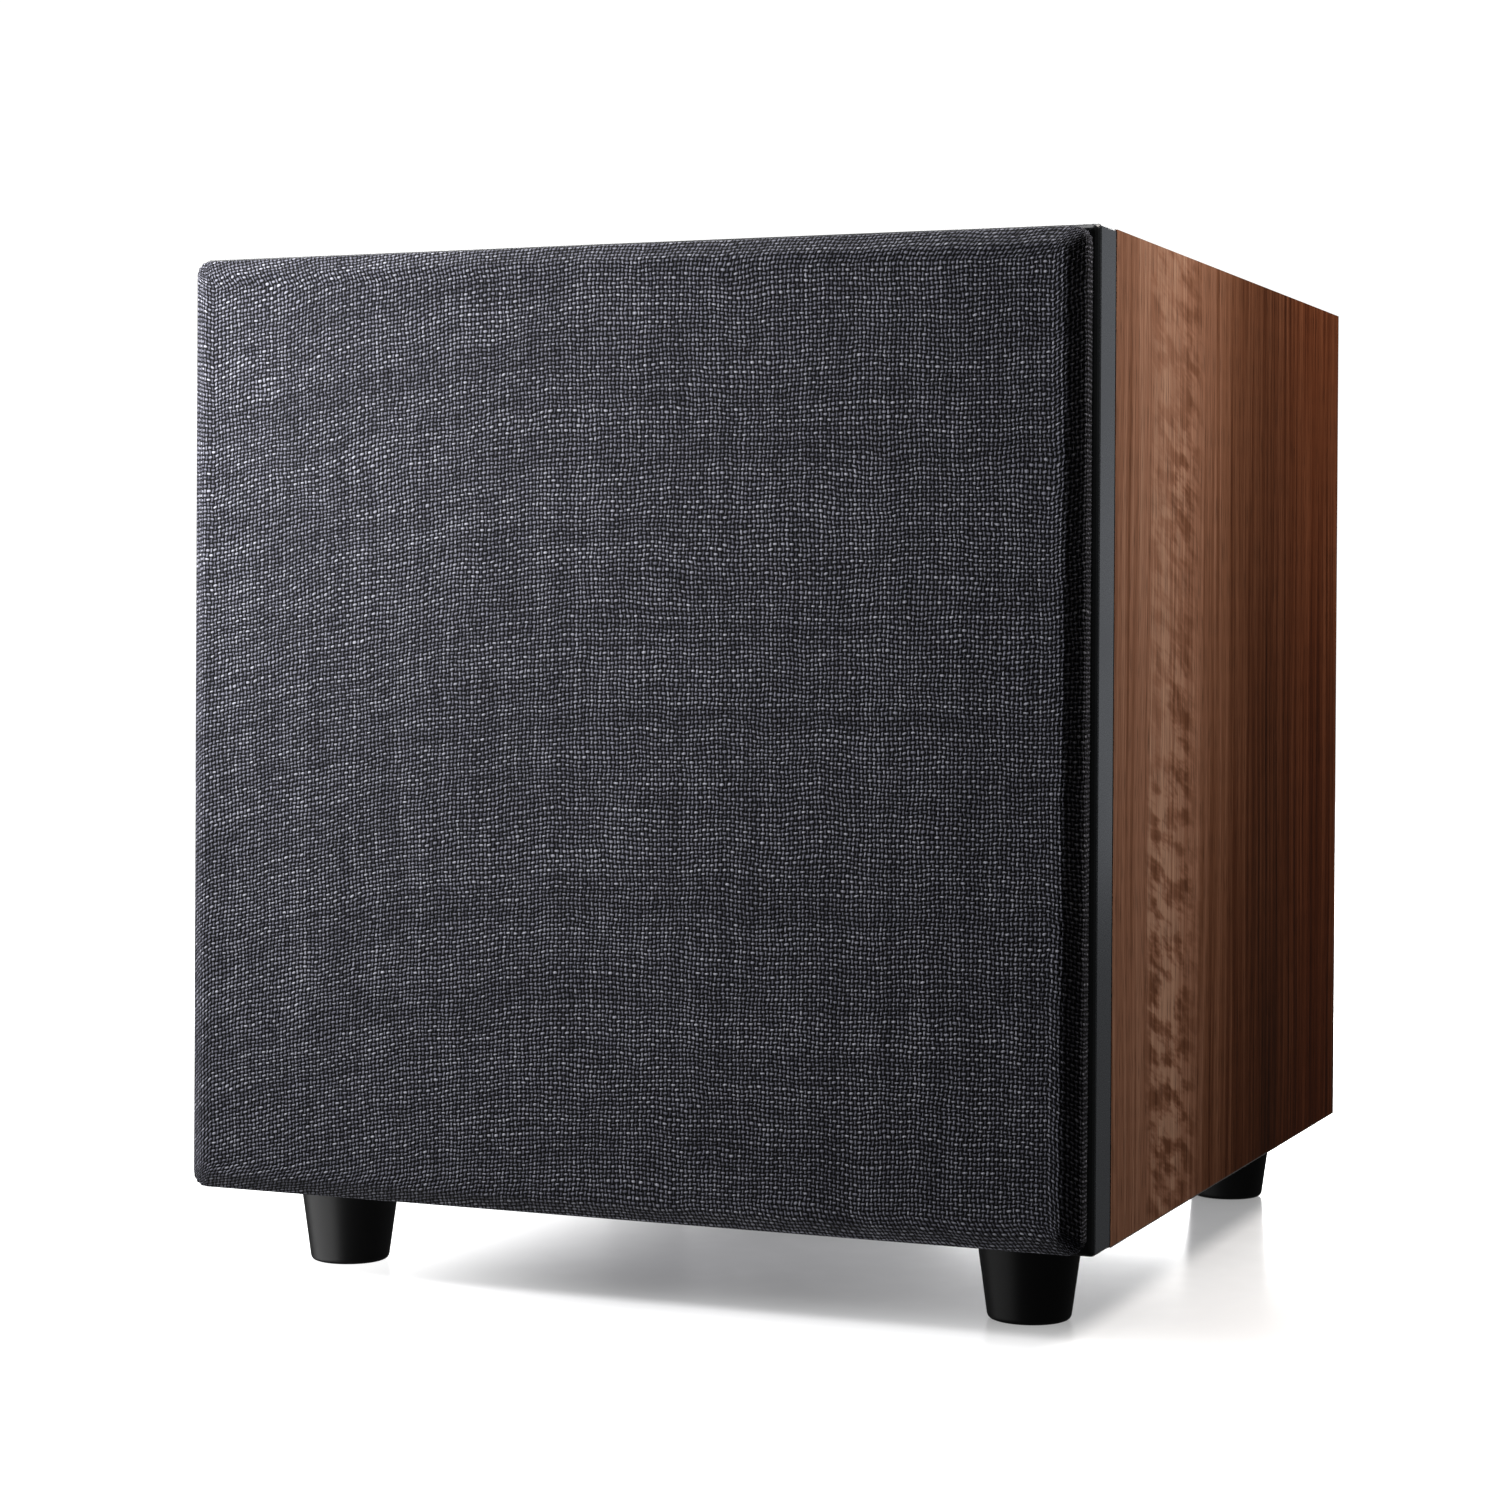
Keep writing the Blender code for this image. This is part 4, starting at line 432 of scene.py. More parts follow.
# ---- Mesh tools --------------------------------------------------------------------------------------
def rounded_path(points, radius, steps=4):
    """A polyline of 2-D points with its inner corners turned into arcs of about one radius."""
    path = [Vector(points[0])]
    for before, here, after in zip(points, points[1:], points[2:]):
        before, here, after = Vector(before), Vector(here), Vector(after)
        reach = min(radius, (here - before).length * 0.45, (after - here).length * 0.45)
        first = here + (before - here).normalized() * reach
        last = here + (after - here).normalized() * reach
        for step in range(steps + 1):
            t = step / steps
            path.append((1 - t) ** 2 * first + 2 * t * (1 - t) * here + t * t * last)
    path.append(Vector(points[-1]))
    return [tuple(point) for point in path]


def tube_section(inner, outer, low, high, radius, steps):
    """The section of a tube, or of a rod if its inner radius is 0, with rounded outer corners."""
    return rounded_path([(inner, low), (outer, low), (outer, high), (inner, high)], radius, steps)


def put(name, mesh, finish, body, matrix=None, smooth=35.0):
    """A named piece from a bmesh, with its material and the body that it rides on."""
    data = bpy.data.meshes.new(name)
    if matrix is not None:
        bmesh.ops.transform(mesh, matrix=matrix, verts=mesh.verts)
    bmesh.ops.recalc_face_normals(mesh, faces=mesh.faces)
    mesh.to_mesh(data)
    mesh.free()
    data.shade_smooth()
    data.set_sharp_from_angle(angle=math.radians(smooth))
    data.materials.append(M[finish])
    piece = bpy.data.objects.new(name, data)
    bpy.context.scene.collection.objects.link(piece)
    if body:
        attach(piece, body)
    return piece


def lathe(profile, steps=96):
    """Turns (radius, height) points round local Z. An open path ends at poles or is joined to its start."""
    mesh = bmesh.new()
    closed = not (profile[0][0] == 0 and profile[-1][0] == 0)
    rings = []
    for radius, height in profile:
        if radius == 0:
            rings.append([mesh.verts.new((0, 0, height))])
            continue
        turns = [2 * math.pi / steps * i for i in range(steps)]
        rings.append([mesh.verts.new((radius * math.cos(t), radius * math.sin(t), height)) for t in turns])
    pairs = list(zip(rings, rings[1:])) + ([(rings[-1], rings[0])] if closed else [])
    for first, second in pairs:
        for i in range(steps):
            j = (i + 1) % steps
            corners = [ring[k % len(ring)] for ring, k in ((first, i), (first, j), (second, j), (second, i))]
            corners = list(dict.fromkeys(corners))
            if len(corners) > 2:
                mesh.faces.new(corners)
    return mesh


def sheet_outline(path, thickness):
    """The outline of a thin sheet whose middle follows a path of (radius, height) points."""
    sides = ([], [])
    for i, point in enumerate(path):
        before, after = Vector(path[max(i - 1, 0)]), Vector(path[min(i + 1, len(path) - 1)])
        tangent = (after - before).normalized()
        across = Vector((-tangent.y, tangent.x))
        for side, sign in zip(sides, (1, -1)):
            moved = Vector(point) + sign * thickness / 2 * across
            side.append((moved.x if point[0] else 0.0, moved.y))
    return sides[0] + sides[1][::-1]


def along_y(x, y, z, flip=False):
    """Local +Z turned to +Y, or to -Y if flipped, at a place."""
    return Matrix.Translation((x, y, z)) @ Matrix.Rotation(math.pi / 2 if flip else -math.pi / 2, 4, "X")


def box_mesh(low, high, bevel):
    """A box between two corners, with its edges bevelled."""
    mesh = bmesh.new()
    bmesh.ops.create_cube(mesh, size=1)
    size = Vector(high) - Vector(low)
    place = Matrix.Translation((Vector(low) + Vector(high)) / 2) @ Matrix.Diagonal((*size, 1))
    bmesh.ops.transform(mesh, matrix=place, verts=mesh.verts)
    bmesh.ops.bevel(mesh, geom=mesh.edges, offset=bevel, segments=2, profile=0.5, affect="EDGES")
    return mesh


def paint(finish, *nodes):
    """Gives CAD nodes a finished material."""
    for node in nodes:
        for slot in frame["nodes"][node].material_slots:
            slot.material = M[finish]


def soften(width, *nodes):
    """Takes the sharpness off CAD nodes' edges."""
    for node in nodes:
        modifier = frame["nodes"][node].modifiers.new("soft_edge", "BEVEL")
        modifier.width = width
        modifier.segments = 2
        modifier.limit_method = "ANGLE"
        modifier.angle_limit = math.radians(40)


# ---- Grille cloth ------------------------------------------------------------------------------------
def square_point(index, per_side, per_corner):
    """Core corner signs, share along the side and outward normal of a point on a rounded square."""
    stretch = per_side + per_corner
    side, step = divmod(index, stretch)
    signs = [(1, -1), (1, 1), (-1, 1), (-1, -1)]
    here, after = signs[side % 4], signs[(side + 1) % 4]
    if step <= per_side:
        share = step / per_side
        core = tuple(a + (b - a) * share for a, b in zip(here, after))
        angle = math.pi / 2 * side
    else:
        core = after
        angle = math.pi / 2 * side + math.pi / 2 * (step - per_side) / per_corner
    return core, (math.cos(angle), math.sin(angle))


def grille_cloth():
    """One stretched sheet over the frame's face, chamfer and sides, turned in behind as a hem."""
    half = CLOTH_HIGH[0]
    face = half - CHAMFER_WIDTH
    depth = CLOTH_HIGH[1] - CLOTH_LOW[1]
    per_side, per_corner = 60, 8
    count = 4 * (per_side + per_corner)
    inner = face - 0.004
    fold = [(inner, 0), (face, 0), (half, CHAMFER_DEPTH), (half, depth), (half - HEM_WIDTH, depth)]
    path = rounded_path(fold, 0.0013, 4)
    fine = [path[0]]
    for before, after in zip(path, path[1:]):
        length = math.dist(before, after)
        parts = max(1, round(length / 0.0012))
        fine += [tuple(a + (b - a) * k / parts for a, b in zip(before, after)) for k in range(1, parts + 1)]
    mesh = bmesh.new()
    weave = mesh.loops.layers.uv.new("weave")
    threads = {}

    def vertex(x, z, y, u, v):
        made = mesh.verts.new((x, CLOTH_LOW[1] + y, MIDDLE + z))
        threads[made] = (u, v)
        return made

    rings = []
    face_steps = 42
    for step in range(1, face_steps):
        reach = inner * step / face_steps
        ring = []
        for index in range(count):
            core, normal = square_point(index, per_side, per_corner)
            x, z = (reach * 0.985 * a + reach * 0.015 * b for a, b in zip(core, normal))
            ripple = FACE_RIPPLE * noise.noise(Vector((x * 22, z * 22, 1.5)))
            ring.append(vertex(x, z, ripple + FACE_RIPPLE, x, z))
        rings.append(ring)
    arc = 0.0
    for k, (out, y) in enumerate(fine):
        arc += math.dist(fine[k - 1], fine[k]) if k else 0.0
        radius = FACE_CORNER + CORNER_GROWTH * min(1.0, max(0.0, (out - inner) / (half - inner)))
        ring = []
        for index in range(count):
            core, normal = square_point(index, per_side, per_corner)
            flat = [(inner - FACE_CORNER) * a + FACE_CORNER * b for a, b in zip(core, normal)]
            corner = abs(core[0]) * abs(core[1])
            gather = math.sin(math.atan2(normal[1], normal[0]) * GATHERS)
            pull = GATHER_DEPTH * max(0.0, corner - 0.9) * 10 * gather
            tuck = pull * min(1.0, arc / 0.008)
            x, z = ((out - radius) * a + (radius + tuck) * b for a, b in zip(core, normal))
            u, v = (f + arc * b for f, b in zip(flat, normal))
            ring.append(vertex(x, z, y, u, v))
        rings.append(ring)
    centre = vertex(0, 0, 0.0001, 0, 0)
    for index in range(count):
        after = (index + 1) % count
        mesh.faces.new((centre, rings[0][index], rings[0][after]))
        for first, second in zip(rings, rings[1:]):
            mesh.faces.new((first[index], second[index], second[after], first[after]))
    for face_made in mesh.faces:
        for loop in face_made.loops:
            loop[weave].uv = threads[loop.vert]
    cloth = put("grille_cloth_sheet", mesh, "cloth", "grille", smooth=180)
    thick = cloth.modifiers.new("thickness", "SOLIDIFY")
    thick.thickness = CLOTH_THICKNESS
    thick.offset = -1
    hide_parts("grille_cloth")
    return cloth


# ---- Feet --------------------------------------------------------------------------------------------
def feet():
    """Moulded rubber feet with a screw and washer up in each one."""
    made = []
    for node in FEET:
        low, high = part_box(node)
        x, y, _ = middle_of(node)
        top, wide = high[2], (high[0] - low[0]) / 2
        narrow, well, deep, bore = wide * 0.77, 0.0065, 0.014, 0.0026
        outline = [(well, deep), (well, 0.0), (narrow, 0.0), (wide, top), (bore, top), (bore, deep)]
        upright = Matrix.Translation((x, y, 0))
        mesh = lathe(rounded_path(outline, 0.0019, 5))
        foot = put(f"{node}_moulded", mesh, "rubber", "cabinet", upright)
        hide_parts(node)
        made.append(foot)
        under = 0.0128
        washer = lathe(tube_section(0.0023, 0.0058, under, under + 0.001, 0.0002, 2), 40)
        put(f"{node}_washer", washer, "steel", "cabinet", upright)
        head = Matrix.Translation((x, y, under - 0.0002))
        put(f"{node}_screw", cross_screw(0.0042, 0.0024, 0.020), "steel", "cabinet", head)
    return made


def cross_screw(radius, height, shank):
    """A pan-head screw with a cross recess, seat at local z 0, head towards -Z, shank towards +Z."""
    points = [(radius, 0.0), (radius, -height * 0.35), (radius * 0.7, -height * 0.85), (0.0, -height)]
    head = rounded_path(points, radius * 0.3, 3)
    point = [(0.0, shank), (radius * 0.38, shank - radius * 0.6), (radius * 0.42, 0.0)]
    profile = [*point, *head[:-1], (0.0, -height)]
    mesh = lathe(profile, 48)
    for vert in mesh.verts:
        flat = min(abs(vert.co.x), abs(vert.co.y))
        reach = max(abs(vert.co.x), abs(vert.co.y))
        if vert.co.z < -height * 0.3 and flat < radius * 0.16 and reach < radius * 0.62:
            vert.co.z += height * 0.55 * (1 - reach / (radius * 0.75))
    return mesh


# ---- Woofer ------------------------------------------------------------------------------------------
def hex_screw(radius, height, shank):
    """A cap screw with a hexagon recess: head towards -Z, shank towards +Z."""
    mesh = bmesh.new()
    steps = 48
    key = radius * 0.52

    def ring(reach, z, hexagon=False):
        points = []
        for i in range(steps):
            angle = 2 * math.pi * i / steps
            size = reach
            if hexagon:
                size *= math.cos(math.pi / 6) / math.cos((angle % (math.pi / 3)) - math.pi / 6)
            points.append(mesh.verts.new((size * math.cos(angle), size * math.sin(angle), z)))
        return points

    rings = [
        ring(key, -height * 0.35, True),
        ring(key, -height, True),
        ring(radius * 0.86, -height),
        ring(radius * 0.96, -height * 0.93),
        ring(radius, -height * 0.8),
        ring(radius, 0),
        ring(radius * 0.45, 0),
        ring(radius * 0.45, shank),
    ]
    for first, second in zip(rings, rings[1:]):
        for i in range(steps):
            j = (i + 1) % steps
            mesh.faces.new((first[i], first[j], second[j], second[i]))
    mesh.faces.new(rings[0][::-1])
    mesh.faces.new(rings[-1])
    return mesh


def radial_blend(piece, outer, inner):
    """Makes a blended ring follow the cone by its distance from the woofer's axis, not from end to end."""
    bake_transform(piece, "cabinet", "cone", start=(0, FRONT, MIDDLE), end=(0, FRONT + 0.001, MIDDLE))
    share = piece.data.attributes["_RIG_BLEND"]
    for vertex, value in zip(piece.data.vertices, share.data):
        radius = math.hypot(vertex.co.x, vertex.co.z - MIDDLE)
        t = min(1.0, max(0.0, (outer - radius) / (outer - inner)))
        value.value = t * t * (3 - 2 * t)


def woofer():
    """Finer copies of what shows when the grille is off. The surround and spider bend with the cone."""
    axis = along_y(0, FRONT, MIDDLE)
    ring_low, ring_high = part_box("woofer_gasket")
    outer = ring_high[0]
    front, back = ring_low[1] - FRONT, ring_high[1] - FRONT
    inner, step, ledge = outer - 0.0117, outer - 0.0087, back - 0.0011
    outline = [(inner, ledge), (inner, front), (outer, front), (outer, back), (step, back), (step, ledge)]
    section = rounded_path(outline, 0.0008, 4)
    gasket = put("woofer_gasket_ring", lathe(section, RING_STEPS), "soft_rubber", "cabinet", axis)
    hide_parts("woofer_gasket")

    seat = front - 0.0003
    for number in range(1, 9):
        node = f"woofer_screw_{number}"
        x, _, z = middle_of(node)
        mesh = hex_screw(0.0042, 0.003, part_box(node)[1][1] - FRONT - seat)
        place = along_y(x, FRONT + seat, z)
        screw = put(f"{node}_socket_head", mesh, "black_steel", "cabinet", place)
        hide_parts(node)

    low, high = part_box("woofer_surround")
    edge = high[0]
    lip, roll_height, rubber = 0.0045, 0.0075, 0.0008
    roll_out, roll_in, flat = edge - lip, edge - 0.0215, high[1] - FRONT - rubber / 2
    middle, reach = (roll_out + roll_in) / 2, (roll_out - roll_in) / 2
    turns = [math.pi * i / 20 for i in range(21)]
    roll = [(middle + reach * math.cos(t), flat - roll_height * math.sin(t)) for t in turns]
    path = rounded_path([(edge, flat), *roll, (roll_in - lip, flat)], 0.0008, 2)
    mesh = lathe(sheet_outline(path, rubber), RING_STEPS)
    surround = put("woofer_surround_roll", mesh, "soft_rubber", None, axis)
    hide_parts("woofer_surround")
    radial_blend(surround, roll_out, roll_in)

    low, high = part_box("woofer_cone")
    rim, neck = high[0] - 0.0004, 0.0264
    rim_depth, neck_depth = low[1] - FRONT + 0.0006, high[1] - FRONT - 0.004
    bend = rim - 0.0055
    drop = neck_depth - rim_depth
    shares = [1 - i / 18 for i in range(19)]
    wall = [(neck + (bend - neck) * share, rim_depth + drop * (1 - share) ** 1.25) for share in shares]
    path = rounded_path([(rim, rim_depth), *wall, (neck, neck_depth + 0.004)], 0.001, 2)
    mesh = lathe(sheet_outline(path, PAPER), RING_STEPS)
    cone = put("woofer_cone_pressed", mesh, "paper", "cone", axis)
    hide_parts("woofer_cone")

    low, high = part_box("woofer_dust_cap")
    radius = 0.041
    rim = high[1] - FRONT - 0.0006
    rise = high[1] - low[1] - PAPER
    turns = [math.pi / 2 * i / 16 for i in range(17)]
    dome = [(radius * math.sin(t), rim - rise * math.cos(t)) for t in turns]
    outline = sheet_outline(dome, PAPER)
    cap = put("woofer_dust_cap_dome", lathe(outline, RING_STEPS), "cap", "cone", axis)
    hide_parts("woofer_dust_cap")
    turns = [2 * math.pi * i / 12 for i in range(12)]
    bead = [(radius + 0.0015 * math.cos(t), rim - 0.0002 + 0.0012 * math.sin(t)) for t in turns]
    put("dust_cap_glue_bead", lathe(bead, RING_STEPS), "cap", "cone", axis)

    low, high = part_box("woofer_spider")
    level = (low[1] + high[1]) / 2 - FRONT
    inner, flat, edge, waves = 0.0258, 0.0645, 0.080, 3
    start = inner + 0.002
    shares = [i / (12 * waves) for i in range(12 * waves + 1)]
    swing = 0.0020
    ripples = [
        (start + (flat - start) * share, level - swing * math.sin(2 * math.pi * waves * share))
        for share in shares
    ]
    outline = sheet_outline([(inner, level), *ripples, (edge, level)], 0.001)
    spider = put("woofer_spider_cloth", lathe(outline, 96), "spider", None, axis)
    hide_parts("woofer_spider")
    radial_blend(spider, flat, start)


# ---- Port and lining ---------------------------------------------------------------------------------
def port_mouth():
    """A smooth flared mouth in place of the faceted one."""
    low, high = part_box("port_flare_outer")
    x, y, _ = middle_of("port_flare_outer")
    height = high[2] - low[2]
    flange, mouth, bore, wall = (high[0] - low[0]) / 2, 0.044, 0.030, 0.0022
    flare, lip, edge = 0.024, 0.0025, 0.0006
    turns = [math.pi / 2 * i / 14 for i in range(15)]
    inside = [(bore + (mouth - bore) * (1 - math.sin(t)), flare * (1 - math.cos(t))) for t in turns]
    collar = bore + wall + 0.0003
    shell = [(radius + wall + 0.0003, z * 0.92 + lip) for radius, z in reversed(inside[:-1])]
    sleeve = [(collar, flare), (collar, height), (collar + wall, height), (collar + wall, flare * 0.92 + lip)]
    profile = [*inside, *sleeve, *shell, (flange, lip), (flange, edge), (flange - edge, 0.0)]
    place = Matrix.Translation((x, y, low[2]))
    piece = put("port_flare_mouth", lathe(profile, 128), "port", "cabinet", place)
    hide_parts("port_flare_outer")
    return piece


def lining():
    """The wadding as lofty fibre: the CAD solid's outline, cut finely and puffed unevenly."""
    node = frame["nodes"]["acoustic_wadding"]
    mesh = bmesh.new()
    mesh.from_mesh(node.data)
    bmesh.ops.subdivide_edges(mesh, edges=mesh.edges, cuts=6, use_grid_fill=True)
    mesh.normal_update()
    moves = {}
    for vert in mesh.verts:
        swell = noise.noise(vert.co * 45) * 0.5 + noise.noise(vert.co * 130) * 0.25
        moves[vert] = vert.co - vert.normal * (0.0012 + 0.0012 * swell)
    for vert, place in moves.items():
        vert.co = place
    piece = put("acoustic_wadding_fibre", mesh, "fibre", "cabinet", smooth=180)
    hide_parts("acoustic_wadding")


# ---- Rear plate --------------------------------------------------------------------------------------
def fluted_knob(name, body):
    """A knob with a fluted skirt, a chamfered top and a pale pointer line."""
    node = f"{name}_knob"
    low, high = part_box(node)
    x, _, z = middle_of(node)
    radius, height = (high[0] - low[0]) / 2, high[1] - low[1]
    base = low[1]
    flutes = 36
    steps = flutes * 6
    mesh = bmesh.new()
    levels = (  # height, share of the radius, and 1 where it is fluted
        (0.0, 0.92, 0),
        (0.0, 1.0, 0),
        (0.0012, 1.0, 1),
        (height - 0.0030, 0.955, 1),
        (height - 0.0016, 0.95, 0),
        (height - 0.0005, 0.92, 0),
        (height, 0.86, 0),
        (height - 0.0003, 0.80, 0),
        (height - 0.0003, 0.25, 0),
    )
    rings = []
    for level, share, cut in levels:
        ring = []
        for i in range(steps):
            angle = 2 * math.pi * i / steps
            dip = 0.00045 * cut * (0.5 + 0.5 * math.cos(angle * flutes))
            reach = radius * share - dip
            ring.append(mesh.verts.new((reach * math.cos(angle), reach * math.sin(angle), level)))
        rings.append(ring)
    for first, second in zip(rings, rings[1:]):
        for i in range(steps):
            j = (i + 1) % steps
            mesh.faces.new((first[i], first[j], second[j], second[i]))
    mesh.faces.new(rings[0][::-1])
    mesh.faces.new(rings[-1])
    knob = put(f"{node}_fluted", mesh, "plastic", body, along_y(x, base, z))
    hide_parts(node)
    wide = 0.0006
    pointer_low = (x - wide, high[1] - 0.0006, z + radius * 0.3)
    pointer_high = (x + wide, high[1] - 0.00005, z + radius * 0.84)
    put(f"{node}_pointer", box_mesh(pointer_low, pointer_high, 0.0001), "print", body)
    scale_ticks(name, x, z, radius)


def scale_ticks(name, x, z, radius):
    """Eleven plain printed ticks round a knob, longer at the ends and the middle."""
    ticks = bmesh.new()
    for i in range(11):
        angle = math.radians(-150 + 30 * i)
        near, far = radius + 0.0028, radius + (0.0055 if i in (0, 5, 10) else 0.0044)
        across = Vector((math.cos(angle), -math.sin(angle)))
        out = Vector((math.sin(angle), math.cos(angle)))
        corners = []
        for reach, side in ((near, -1), (near, 1), (far, 1), (far, -1)):
            point = out * reach + across * 0.00035 * side
            corners.append((x + point.x, z + point.y))
        lower = [ticks.verts.new((a, PLATE - 0.00003, b)) for a, b in corners]
        upper = [ticks.verts.new((a, PLATE + 0.00007, b)) for a, b in corners]
        ticks.faces.new(lower)
        ticks.faces.new(upper)
        for k in range(4):
            ticks.faces.new((lower[k], lower[(k + 1) % 4], upper[(k + 1) % 4], upper[k]))
    put(f"{name}_scale_ticks", ticks, "print", "cabinet")


def rear_plate():
    """Screws, knobs, sockets and the small fittings of the amplifier's plate."""
    fluted_knob("volume", "volume_control")
    fluted_knob("crossover", "crossover_control")
    inset = 0.0075
    xs = (PLATE_LOW[0] + inset, PLATE_HIGH[0] - inset)
    zs = [PLATE_LOW[2] + inset + (PLATE_HIGH[2] - PLATE_LOW[2] - 2 * inset) * i / 3 for i in range(4)]
    places = [(x, z) for x in xs for z in zs]
    for number, (x, z) in enumerate(places, 1):
        place = along_y(x, PLATE + SEAT, z, flip=True)
        screw = cross_screw(0.0039, 0.0022, 0.016)
        put(f"plate_screw_{number}", screw, "black_steel", "cabinet", place)
    module_x, _, module_z = middle_of("mains_inlet")
    for number, sign in enumerate((-1, 1), 1):
        place = along_y(module_x + sign * 0.0188, MODULE_FACE + SEAT, module_z, flip=True)
        screw = cross_screw(0.0024, 0.0012, 0.010)
        put(f"module_screw_{number}", screw, "black_steel", "cabinet", place)
    for side, finish, slot in (("left", "white", "jack_white"), ("right", "red", "jack_red")):
        node = f"input_jack_{side}"
        x, _, z = middle_of(node)
        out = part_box(node)[1][1] - PLATE
        place = along_y(x, PLATE + 0.0001, z)
        sleeve = lathe(tube_section(0.0034, 0.00415, 0.0, out, 0.0002, 2), 64)
        shell = put(f"{node}_sleeve", sleeve, "nickel", "cabinet", place)
        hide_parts(node)
        ring = tube_section(0.0042, 0.0058, 0.0, 0.0021, 0.0004, 3)
        put(f"{node}_ring", lathe(ring, 64), finish, "cabinet", place)
        core = tube_section(0.0017, 0.0033, 0.0005, out - 0.0007, 0.0002, 2)
        put(f"{node}_insulator", lathe(core, 48), finish, "cabinet", place)
        tail = lathe([(0.0, -0.0065), (0.0036, -0.0065), (0.0036, 0.0003), (0.0, 0.0003)], 32)
        put(f"{node}_tail", tail, "plastic", "cabinet", along_y(x, PLATE, z))
    low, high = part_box("fuse_drawer")
    z = (low[2] + high[2]) / 2 + 0.0004
    centre = (low[1] + high[1]) / 2 - 0.001
    lay = Matrix.Translation((-0.009, centre, z)) @ Matrix.Rotation(math.pi / 2, 4, "Y")
    tube = tube_section(0.0, 0.0022, 0.004, 0.014, 0.0003, 2)
    put("fuse_glass_tube", lathe(tube, 32), "glass", "drawer", lay)
    for name, start in (("left", 0.0), ("right", 0.0135)):
        cap = tube_section(0.0, 0.0025, start, start + 0.0045, 0.0004, 3)
        put(f"fuse_cap_{name}", lathe(cap, 32), "nickel", "drawer", lay)


# ---- CAD nodes that keep their shape -----------------------------------------------------------------
def painted_nodes():
    paint("walnut_side", "cabinet_side_left", "cabinet_side_right")
    paint("walnut_cap", "cabinet_top", "cabinet_bottom")
    paint("board", "cabinet_back", "window_brace")
    paint("lacquer", "front_baffle")
    switches = ("mains_rocker", "fuse_drawer", "phase_lever", "power_lever")
    corners = ("top_left", "top_right", "bottom_left", "bottom_right")
    paint("plastic", "grille_frame", "woofer_terminal", "mains_inlet", *switches)
    paint("plastic", *[f"grille_cup_{corner}" for corner in corners])
    paint("basket", "woofer_basket")
    paint("steel", "magnet_top_plate", "magnet_yoke", "volume_shaft", "crossover_shaft")
    paint("foil", "voice_coil_former")
    paint("copper", "voice_coil_winding")
    paint("ferrite", "magnet_ring")
    paint("port", "port_tube", "port_flare_inner")
    paint("powder", "amplifier_plate", "amplifier_housing")
    paint("foam", "amplifier_gasket")
    paint("board_green", "circuit_board")
    paint("tape", "transformer")
    paint("sleeve", "reservoir_capacitor")
    paint("lens", "status_light")
    paint("wire", "speaker_wire")
    soften(0.0008, "cabinet_side_left", "cabinet_side_right", "cabinet_top", "cabinet_bottom")
    soften(0.0003, *switches)


# ---- Studio ------------------------------------------------------------------------------------------
def floor():
    """A pale, satin floor that only the camera sees. It glows as if lit from all round, and the light fades
    under the cabinet with the distance from its edges."""
    g = Graph("studio_floor", Base_Color=(0.86, 0.86, 0.87))
    g.shader.inputs["Emission Color"].default_value = (1, 1, 1, 1)
    x, y, z = g.place()
    speckle = g.noise(g.vector(x, y, z), 60.0, 2.0)
    half, back = SIDE_HIGH[0], SIDE_HIGH[1]
    from_front = g.math("POWER", g.range(y, FRONT - 0.032, FRONT + 0.100, 1.0, 0.0), 2.4)
    from_left = g.range(x, 0.020 - half, 0.165 - half, 1.0, 0.0)
    from_right = g.range(x, half - 0.255, half + 0.305)
    from_back = g.range(y, back - 0.050, back + 0.030)
    shade = 1.0  # how deep a point is in the dark under the cabinet
    for share in (from_front, from_left, from_right, from_back):
        shade = g.times(shade, g.math("SUBTRACT", 1.0, share))
    glow = g.times(g.math("POWER", g.math("SUBTRACT", 1.0, shade), 1.4), 1.08)
    material = g.finish(Roughness=g.range(speckle, 0.3, 0.7, 0.18, 0.22), Emission_Strength=glow)
    data = bpy.data.meshes.new("studio_floor")
    size = 40.0
    corners = [(-size, -size, 0), (size, -size, 0), (size, size, 0), (-size, size, 0)]
    data.from_pydata(corners, [], [(0, 1, 2, 3)])
    data.materials.append(material)
    plane = bpy.data.objects.new("studio_floor", data)
    plane.location.z = -0.0002
    bpy.context.scene.collection.objects.link(plane)
    plane.visible_diffuse = False
    plane.visible_glossy = False
    plane.visible_shadow = False
    return plane


def world():
    """White behind the object, and a dim even fill from everywhere else, dimmer still in reflections."""
    sky = bpy.data.worlds.new("studio")
    sky.use_nodes = True
    nodes, links = sky.node_tree.nodes, sky.node_tree.links
    seen = nodes.new("ShaderNodeLightPath")
    shader = nodes["Background"]
    shader.inputs[0].default_value = (0.96, 0.98, 1.0, 1)
    shader.inputs[1].default_value = 0.008
    for ray, strength in (("Is Glossy Ray", 0.035), ("Is Camera Ray", 1.1)):
        other = nodes.new("ShaderNodeBackground")
        other.inputs[0].default_value = (1, 1, 1, 1)
        other.inputs[1].default_value = strength
        mix = nodes.new("ShaderNodeMixShader")
        links.new(seen.outputs[ray], mix.inputs[0])
        links.new(shader.outputs[0], mix.inputs[1])
        links.new(other.outputs[0], mix.inputs[2])
        shader = mix
    links.new(shader.outputs[0], nodes["World Output"].inputs[0])
    bpy.context.scene.world = sky


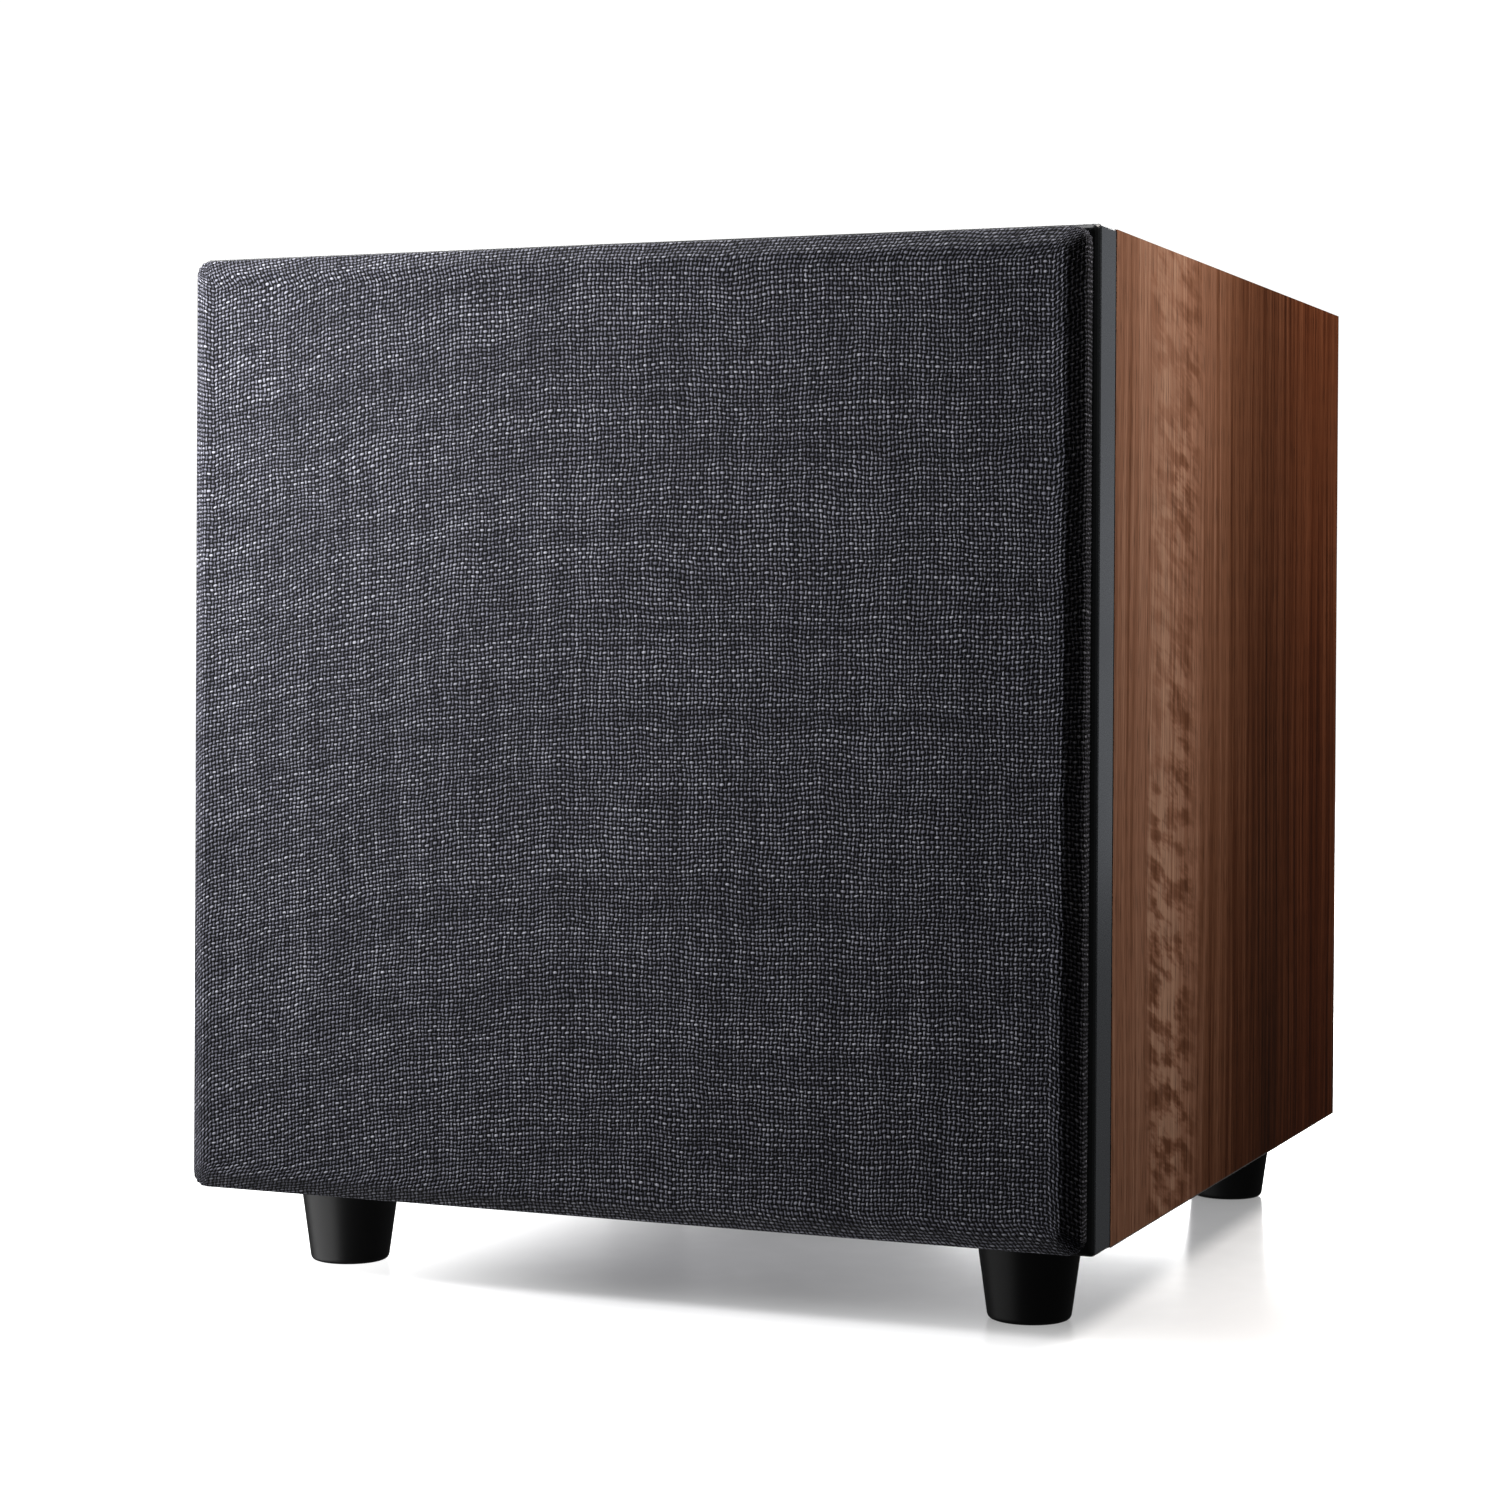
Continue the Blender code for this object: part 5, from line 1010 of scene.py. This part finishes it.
def lamp(name, place, target, size, power, colour=(1, 1, 1), only=()):
    """A softbox that faces a target, doesn't show itself to the camera, and may light only some objects."""
    data = bpy.data.lights.new(name, "AREA")
    data.shape = "RECTANGLE"
    data.size, data.size_y = size
    data.energy = power
    data.color = colour
    light = bpy.data.objects.new(name, data)
    light.location = place
    light.rotation_euler = (Vector(target) - Vector(place)).to_track_quat("-Z", "Y").to_euler()
    light.visible_camera = False
    if only:
        lit = bpy.data.collections.new(f"{name}_lights")
        for piece in only:
            lit.objects.link(piece)
        light.light_linking.receiver_collection = lit
    bpy.context.scene.collection.objects.link(light)


def lights(ground, under, rubber_feet, cloth):
    """A small key lamp at the front left, a warm one over the right side, soft ones behind, and weak ones
    that each light a single piece: the baffle's edge, the floor, the underside, the cloth or a foot."""
    baffle = [frame["nodes"]["front_baffle"]]
    warm, cool = (1.0, 0.95, 0.90), (0.88, 0.92, 1.0)
    lamp("key_front_left", (-0.39, -0.50, 0.43), (-0.24, -0.19, 0.38), (0.14, 0.14), 4.6)
    others = [piece for piece in bpy.data.objects if piece.type == "MESH" and piece is not cloth]
    side = ((0.50, 0.07, 0.78), (0.165, -0.06, 0.24), (0.26, 0.26))
    lamp("side_right", *side, 5.2, warm, others)
    lamp("side_right_cloth", *side, 2.6, warm, [cloth])
    lamp("rear_fill", (-0.35, 2.2, 0.7), (0, 0.17, 0.2), (0.7, 0.9), 14.0)
    lamp("back_left", (-1.2, 1.3, 1.1), (0, 0.1, 0.2), (0.9, 0.9), 16.0)
    lamp("top", (-0.1, 0.25, 1.5), (0, 0.1, 0.36), (0.7, 0.7), 6.0)
    lamp("edge_low", (0.66, 1.5, 0.20), (0.165, -0.17, 0.2), (0.6, 1.6), 0.40, cool, baffle)
    lamp("edge_high", (0.66, 1.5, 0.50), (0.165, -0.17, 0.2), (0.6, 1.0), 0.72, cool, baffle)
    lamp("floor_top", (0.0, 0.0, 2.6), (0, 0, 0), (2.4, 2.4), 6.0, only=[ground])
    lamp("floor_back", (-0.8, 3.0, 0.75), (-0.3, 0, 0.3), (5.0, 1.5), 20.0, only=[ground])
    wide = CABINET_SIDE - 0.06
    underside = [frame["nodes"]["cabinet_bottom"], *under]
    lamp("under_glow", (0, 0, 0.002), (0, 0, 1), (wide, wide), 0.55, only=underside)
    lamp("floor_bounce", (-0.09, -0.178, 0.003), (-0.09, -0.178, 1), (0.5, 0.05), 0.055, only=[cloth])
    low_left = ((-0.68, -0.56, -0.20), (-0.13, -0.13, 0.02), (1.25, 0.8))
    for foot, power in zip(rubber_feet, (4.6, 1.2, 1.1, 1.1)):
        lamp(f"{foot.name}_glow", *low_left, power, only=[foot])


# The camera's place, found by lining the cabinet's edges up with the photograph. Angles are in radians.
LENS = 80.56  # millimetres, on a 36 mm sensor
CAMERA_YAW = 0.39063
CAMERA_PITCH = 0.0079
CAMERA_ROLL = 0.00562
CAMERA_SHIFT = -0.0689
CAMERA_FROM_WOOD = Vector((1.42343, -3.18099, 0.61491))  # from the wood's lower front edge, in cabinet sides


def camera():
    data = bpy.data.cameras.new("camera")
    data.lens = LENS
    data.sensor_width = 36.0
    data.shift_y = CAMERA_SHIFT
    data.clip_end = 200.0
    yaw, pitch, roll = CAMERA_YAW, CAMERA_PITCH, CAMERA_ROLL
    ahead = Vector((-math.sin(yaw) * math.cos(pitch), math.cos(yaw) * math.cos(pitch), -math.sin(pitch)))
    right = Vector((math.cos(yaw), math.sin(yaw), 0))
    up = right.cross(ahead)
    tilted_right = math.cos(roll) * right + math.sin(roll) * up
    tilted_up = -math.sin(roll) * right + math.cos(roll) * up
    turn = Matrix((tilted_right, tilted_up, -ahead)).transposed().to_4x4()
    edge = Vector((0, SIDE_LOW[1], SIDE_LOW[2]))
    made = bpy.data.objects.new("camera", data)
    made.matrix_world = Matrix.Translation(edge + CAMERA_FROM_WOOD * CABINET_SIDE) @ turn
    bpy.context.scene.collection.objects.link(made)
    bpy.context.scene.camera = made


painted_nodes()
cloth = grille_cloth()
rubber_feet = feet()
woofer()
mouth = port_mouth()
lining()
rear_plate()
world()
lights(floor(), [mouth], rubber_feet, cloth)
camera()
bpy.context.scene.view_settings.view_transform = "Standard"
